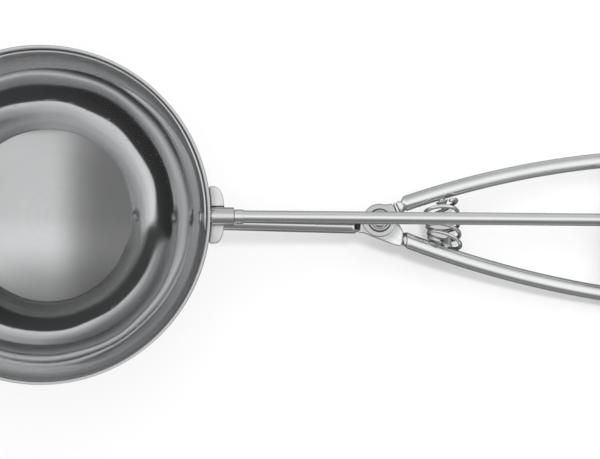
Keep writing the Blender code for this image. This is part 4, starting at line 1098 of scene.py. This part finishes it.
MACHINED = steel("machined_face", (0.52, 0.52, 0.535), 0.24, 5000, 40, 0.10, 1.5e-6, 0.2)

RECORD = frame["record"]
BODY_OF = {name: body for body, names in RECORD["behaviour"]["bodies"].items() for name in names}


def place(piece, name, material):
    """Puts the piece in place of the named node, on its body, with its material."""
    piece.data.materials.clear()
    piece.data.materials.append(material)
    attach(piece, BODY_OF[name])
    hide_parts(name)
    return piece


place(build_bowl(), "bowl", POLISHED)
place(build_saddle(), "bowl_saddle", SATIN)
place(build_ferrule(), "shaft_ferrule", TURNED)
place(build_fixed_handle(), "fixed_handle", FORGED)
place(build_pivot_rivet(), "pivot_rivet", PEENED)
place(build_pivot_washer(), "pivot_washer", SATIN_PLAIN)
place(build_peg("fixed_rod_stud", FIXED_ARC, 1), "spring_peg_fixed", STUD)
place(build_cage(), "bearing_cage", SATIN_PLAIN)
place(build_squeeze_handle(), "squeeze_handle", LEVER)
place(build_peg("squeeze_rod_stud", SQUEEZE_ARC, -1), "spring_peg_squeeze", STUD)
place(build_rack(), "drive_rack", MACHINED)
place(build_blade(), "wiper_blade", BRUSHED)
place(build_shaft(), "wiper_shaft", ROD)
place(build_washer("shaft_washer_ring", TENON_R + GAP, TO_HANDLES), "shaft_washer", MACHINED)
place(build_washer("nose_washer_ring", NOSE_PIN_R + GAP, TO_NOSE), "nose_washer", MACHINED)
place(build_nose_pin(), "nose_pin", ROD)
place(build_pinion(), "drive_pinion", MACHINED)
place(build_pinion_pin(), "pinion_pin", MACHINED)
place(build_clip(), "shaft_end_clip", MACHINED)

TAB_MIDDLE = float(tab_outline()[:, 0].min() + tab_outline()[:, 0].max()) / 2
SMALL_RIVETS = (
    ("cage_rivet", FIXED_ARC, CAGE_MIDDLE, WEB_TOP),
    ("rack_rivet", SQUEEZE_ARC, TAB_MIDDLE, RACK_TOP),
)
for kind, arc, middle, plate_top in SMALL_RIVETS:
    for end, x in zip(("front", "rear"), rivet_places(middle)):
        stud = build_small_rivet(f"{kind}_{end}_stud", arc, x, plate_top)
        place(stud, f"{kind}_{end}", MACHINED)

spring = place(build_spring(), "return_spring", WIRE)
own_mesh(spring)

# Camera: straight down into the bowl's mouth, with a slight roll
VIEW_X, VIEW_Y = 84.3, -4.0
VIEW_WIDTH = 194.7
VIEW_DISTANCE = 900
VIEW_ROLL = math.radians(0.5)
camera_data = bpy.data.cameras.new("camera")
camera_data.lens = camera_data.sensor_width * VIEW_DISTANCE / VIEW_WIDTH
camera_data.clip_start = 0.01
camera = add("camera", camera_data)
right = math.cos(VIEW_ROLL) * AXES[0] + math.sin(VIEW_ROLL) * AXES[1]
up = -math.sin(VIEW_ROLL) * AXES[0] + math.cos(VIEW_ROLL) * AXES[1]
turn = Matrix([Vector(right), Vector(up), Vector(AXES[2])]).transposed().to_4x4()
at = to_world((VIEW_X, VIEW_Y, BOWL_SKIRT + VIEW_DISTANCE))
camera.matrix_world = Matrix.Translation(at) @ turn
bpy.context.scene.camera = camera


def stage_mesh(name, points, faces, material_name):
    """A plain mesh with an empty material; gives its object and the material's node tree."""
    mesh = bpy.data.meshes.new(name)
    mesh.from_pydata(points, [], faces)
    material = bpy.data.materials.new(material_name)
    material.use_nodes = True
    material.node_tree.nodes.clear()
    mesh.materials.append(material)
    return add(name, mesh), material.node_tree


def for_reflections(obj):
    for kind in ("camera", "diffuse", "shadow", "transmission"):
        setattr(obj, f"visible_{kind}", False)


SHEET_END, SHEET_HALF = 400, 150  # its far x and half its width


def clear_sheet(name, start, height):
    """A flat clear sheet from an x to its far end, at a z, which only reflections meet."""
    corners = [
        (start, -SHEET_HALF, height), (SHEET_END, -SHEET_HALF, height),
        (SHEET_END, SHEET_HALF, height), (start, SHEET_HALF, height),
    ]
    sheet, tree = stage_mesh(name, to_world(corners).tolist(), [range(4)], name)
    node(tree, "OutputMaterial", {0: out(tree, "BsdfTransparent")})
    for_reflections(sheet)


# Floor, in metres, under the bowl and the handles' tips. What metal mirrors of it is darker under
# the object and the handles, a painted shadow; far off, it is seen plain white.
FLOOR_COLOUR = 0.90
FLOOR_LIFT = 0.25  # share of plain white in what is seen beside the grips
BOWL_LIFT = 0.5  # and further off, under the bowl
# What metal mirrors of the floor, a painted shadow: from, to and the levels there, by the way from
# the bowl, then by Y in front of the object and behind it, and by X past the bowl
NEAR_GRADE = (0.04, 0.15, 0.16, 0.58)
FAR_GRADE = (0.15, 0.7, 0.0, 0.37)
FRONT_DIM = (-1.0, -0.25, 1.0, 0.4)
BACK_DIM = (0.0, 0.05, 0.4, 1.0)
BOWL_DIM = (-0.05, -0.01, 1.0, 0.0)
GRIPS_AT = (0.09, -0.02, 0)
GRIPS_NEAR, GRIPS_FAR = 0.07, 0.13
FAR_START, FAR_END = 0.35, 1.0
FLOOR_CORNERS = [(-3, -3, 0), (3, -3, 0), (3, 3, 0), (-3, 3, 0)]
floor, tree = stage_mesh("floor", FLOOR_CORNERS, [range(4)], "pale_floor")
path = node(tree, "LightPath").outputs
mirrored = maths(tree, "MAXIMUM", path["Is Glossy Ray"], path["Is Transmission Ray"])
ground = node(tree, "TexCoord").outputs["Object"]
spot = measure(tree, "DISTANCE", ground, (float(CENTRE[0]), 0, 0))
beside = measure(tree, "DISTANCE", ground, GRIPS_AT)
lift = spread(tree, beside, GRIPS_NEAR, GRIPS_FAR, FLOOR_LIFT, BOWL_LIFT)
lift = maths(tree, "MAXIMUM", lift, spread(tree, spot, FAR_START, FAR_END, 0.0, 1.0))
lift = maths(tree, "MULTIPLY", path["Is Camera Ray"], lift)
matte = out(tree, "BsdfDiffuse", {"Color": (FLOOR_COLOUR, FLOOR_COLOUR, FLOOR_COLOUR, 1.0)})
# Painted shadow in what metal mirrors: graded by the way from the bowl, dimmed in front and behind
near = spread(tree, spot, *NEAR_GRADE)
grade = maths(tree, "ADD", near, spread(tree, spot, *FAR_GRADE))
where = node(tree, "SeparateXYZ", {0: ground}).outputs
front = spread(tree, where["Y"], *FRONT_DIM)
dim = maths(tree, "MAXIMUM", front, spread(tree, where["Y"], *BACK_DIM))
dim = maths(tree, "MAXIMUM", dim, spread(tree, where["X"], *BOWL_DIM))
level = mix(tree, mirrored, 1.0, maths(tree, "MULTIPLY", grade, dim))
white = out(tree, "Emission", {"Strength": level})
both = {0: maths(tree, "MAXIMUM", lift, mirrored), 1: matte, 2: white}
node(tree, "OutputMaterial", {0: out(tree, "MixShader", both)})

# World: white where it is seen or mirrored, softer where it lights
WORLD_LIGHT = 0.40
world = bpy.data.worlds.new("studio")
bpy.context.scene.world = world
world.use_nodes = True
tree = world.node_tree
tree.nodes.clear()
path = node(tree, "LightPath").outputs
seen = maths(tree, "MAXIMUM", path["Is Camera Ray"], path["Is Glossy Ray"])
seen = maths(tree, "MAXIMUM", seen, path["Is Transmission Ray"])
level = spread(tree, seen, 0.0, 1.0, WORLD_LIGHT, 1.0)
background = out(tree, "Background", {"Color": (1.0, 1.0, 1.0, 1.0), "Strength": level})
node(tree, "OutputWorld", {0: background})


# Two lamps lean towards the squeeze handle's side: a wide one, whose shadows leave out the
# bowl's, and a small one for the crisp shadow along the fixed handle.
def lamp(name, size, energy, place, shadows_of):
    """A square lamp, its size in metres, at a place in the working frame, turned to the pivot."""
    data = bpy.data.lights.new(name, "AREA")
    data.size = size
    data.energy = energy
    made = add(name, data)
    at = Vector(to_world(place))
    way = at - Vector(to_world((PIVOT_X, 0, 0)))
    made.matrix_world = Matrix.Translation(at) @ way.to_track_quat("Z", "Y").to_matrix().to_4x4()
    made.visible_glossy = False
    makers = bpy.data.collections.new(f"{name}_shadows")
    for piece in shadows_of:
        makers.objects.link(piece)
    made.light_linking.blocker_collection = makers


def pieces(*starts, named=True):
    """All pieces whose names start like this or, if named is off, all the others."""
    made = [obj for obj in bpy.data.objects if obj.type == "MESH"]
    return [obj for obj in made if obj.name.startswith(starts) == named]


WIDE_MAKERS = pieces("floor", "bowl", "wiper_strip", "saddle", named=False)
KEY_MAKERS = pieces("fixed_handle_forging", "return_spring")
lamp("overhead_soft_light", 1.6, 23.0, (300, 440, 2000), WIDE_MAKERS)
lamp("handle_key_light", 0.08, 4.6, (150, 125, 1000), KEY_MAKERS)

# Dome that only reflections see: its levels along X times those along Y, from -1 to 1. What is
# mirrored once meets a soft sky, what the bowl mirrors again meets a front half kept dark, and
# what it mirrors a third time or more meets a small bright middle, then a bright front.
# Rays from the shaft pass one clear sheet and those from the handles two, and each count has a
# sky with a dark front of its own.
DOME_R = 1600
DOME_REACH = 0.60 * math.pi  # angle from straight above the bowl
DOME_ROUND, DOME_DOWN = 97, 60  # points round it and down it
SOFT_ALONG = (
    (-1, 0.3), (-0.58, 0.28), (-0.39, 0.46), (-0.26, 0.7), (-0.12, 0.96), (0, 1), (0.88, 1),
    (1, 0.3),
)
SOFT_ACROSS = (
    (-1, 0.1), (-0.96, 0.18), (-0.88, 0.25), (-0.82, 0.6), (-0.54, 0.58), (0, 0.6),
    (0.15, 0.68), (0.38, 0.72), (0.54, 0.56), (0.67, 0.4), (0.8, 0.25), (0.93, 0.2), (1, 0.1),
)
SOFT_LEVEL = 1.12
CAST_ALONG = (
    (-1, 0.1), (-0.45, 0.16), (-0.1, 0.34), (0, 0.55), (0.1, 0.85), (0.3, 1), (0.5, 0.85),
    (0.75, 0.5), (1, 0.2),
)
CAST_ACROSS = (
    (-1, 0.08), (-0.7, 0.03), (0.005, 0.04), (0.035, 0.98), (0.29, 0.7), (0.5, 0.47),
    (0.64, 0.34), (0.77, 0.26), (0.86, 0.4), (1, 0.3),
)
CAST_TURN = 0.15
CAST_LEVEL = 1.01
CAST_FLOOR = 0.028
THIRD_ALONG = (
    (-1, 0.3), (-0.35, 0.45), (-0.1, 0.9), (0, 1), (0.12, 1), (0.3, 0.75), (0.5, 0.55), (1, 0.4),
)
THIRD_ACROSS = (
    (-1, 0.04), (-0.35, 0.04), (-0.2, 0.15), (-0.08, 0.5), (0, 0.7), (0.06, 0.9), (0.15, 0.6),
    (0.34, 0.12), (1, 0.1),
)
DEEP_ALONG = ((-1, 1), (0.1, 1), (0.5, 0.8), (1, 0.7))
DEEP_ACROSS = (
    (-1, 1.2), (-0.4, 1.3), (-0.18, 1.2), (0, 0.5), (0.15, 0.24), (0.4, 0.2), (1, 0.2),
)
SHAFT_ACROSS = (
    (-1, 0.2), (-0.65, 0.2), (-0.4, 0.38), (-0.12, 0.9), (0.2, 1), (0.45, 0.85), (0.75, 0.58),
    (1, 0.6),
)
HANDLE_ACROSS = (
    (-1, 0.22), (-0.86, 0.22), (-0.6, 0.62), (-0.4, 0.95), (0, 1.02), (0.4, 0.9), (0.8, 0.6),
    (1, 0.48),
)
ROD_LEVEL = 1.12


def ramp(tree, factor, stops, curve="EASE"):
    """A curve through stops of (position from -1 to 1, level), read at the factor."""
    made = node(tree, "ValToRGB", {"Fac": factor})
    made.color_ramp.interpolation = curve
    elements = made.color_ramp.elements
    while len(elements) < len(stops):
        elements.new(0.5)
    for element, (position, level) in zip(elements, stops):
        element.position = (position + 1) / 2
        element.color = (level, level, level, 1.0)
    return made.outputs[0]


def sky(tree, x, y, along, across, curve="EASE"):
    return maths(tree, "MULTIPLY", ramp(tree, x, along, curve), ramp(tree, y, across, curve))


def build_dome():
    """A sphere round the bowl's centre, whose UV map holds X and Y of the way to each point."""
    turn = np.linspace(0, 2 * np.pi, DOME_ROUND)[:, None]
    lift = np.linspace(0, DOME_REACH, DOME_DOWN)
    way = columns(np.sin(lift) * np.cos(turn), np.sin(lift) * np.sin(turn), np.cos(lift))
    index = np.arange(DOME_ROUND * DOME_DOWN).reshape(DOME_ROUND, DOME_DOWN)
    quads = columns(index[:-1, :-1], index[1:, :-1], index[1:, 1:], index[:-1, 1:]).reshape(-1, 4)
    points = to_world(DOME_R * way.reshape(-1, 3)).tolist()
    dome, tree = stage_mesh("studio_dome", points, quads.tolist(), "studio_dome")
    uv = (way[..., :2].reshape(-1, 2)[quads.ravel()] + 1) / 2
    dome.data.uv_layers.new(name="UVMap").uv.foreach_set("vector", uv.ravel())
    ways = node(tree, "SeparateXYZ", {0: node(tree, "TexCoord").outputs["UV"]}).outputs
    x, y = ways["X"], ways["Y"]
    turned_y = maths(tree, "MULTIPLY_ADD", maths(tree, "SUBTRACT", x, 0.5), CAST_TURN, y)
    soft = sky(tree, x, y, SOFT_ALONG, SOFT_ACROSS, "B_SPLINE")
    soft = maths(tree, "MULTIPLY", soft, SOFT_LEVEL)
    cast = maths(tree, "ADD", sky(tree, x, turned_y, CAST_ALONG, CAST_ACROSS), CAST_FLOOR)
    rays = node(tree, "LightPath").outputs
    again = maths(tree, "GREATER_THAN", rays["Ray Depth"], 1.5)
    level = mix(tree, again, soft, maths(tree, "MULTIPLY", cast, CAST_LEVEL))
    for times, along, across in ((2.5, THIRD_ALONG, THIRD_ACROSS), (3.5, DEEP_ALONG, DEEP_ACROSS)):
        more = maths(tree, "GREATER_THAN", rays["Ray Depth"], times)
        level = mix(tree, more, level, sky(tree, x, y, along, across))
    for sheets, stops in ((0.5, SHAFT_ACROSS), (1.5, HANDLE_ACROSS)):
        passed = maths(tree, "GREATER_THAN", rays["Transparent Depth"], sheets)
        level = mix(tree, passed, level, maths(tree, "MULTIPLY", ramp(tree, y, stops), ROD_LEVEL))
    node(tree, "OutputMaterial", {0: out(tree, "Emission", {"Strength": level})})
    for_reflections(dome)


build_dome()
clear_sheet("upper_clear_sheet", 55.6, 3.8)
clear_sheet("lower_clear_sheet", 101.6, -4)

bpy.context.scene.view_settings.view_transform = "Standard"
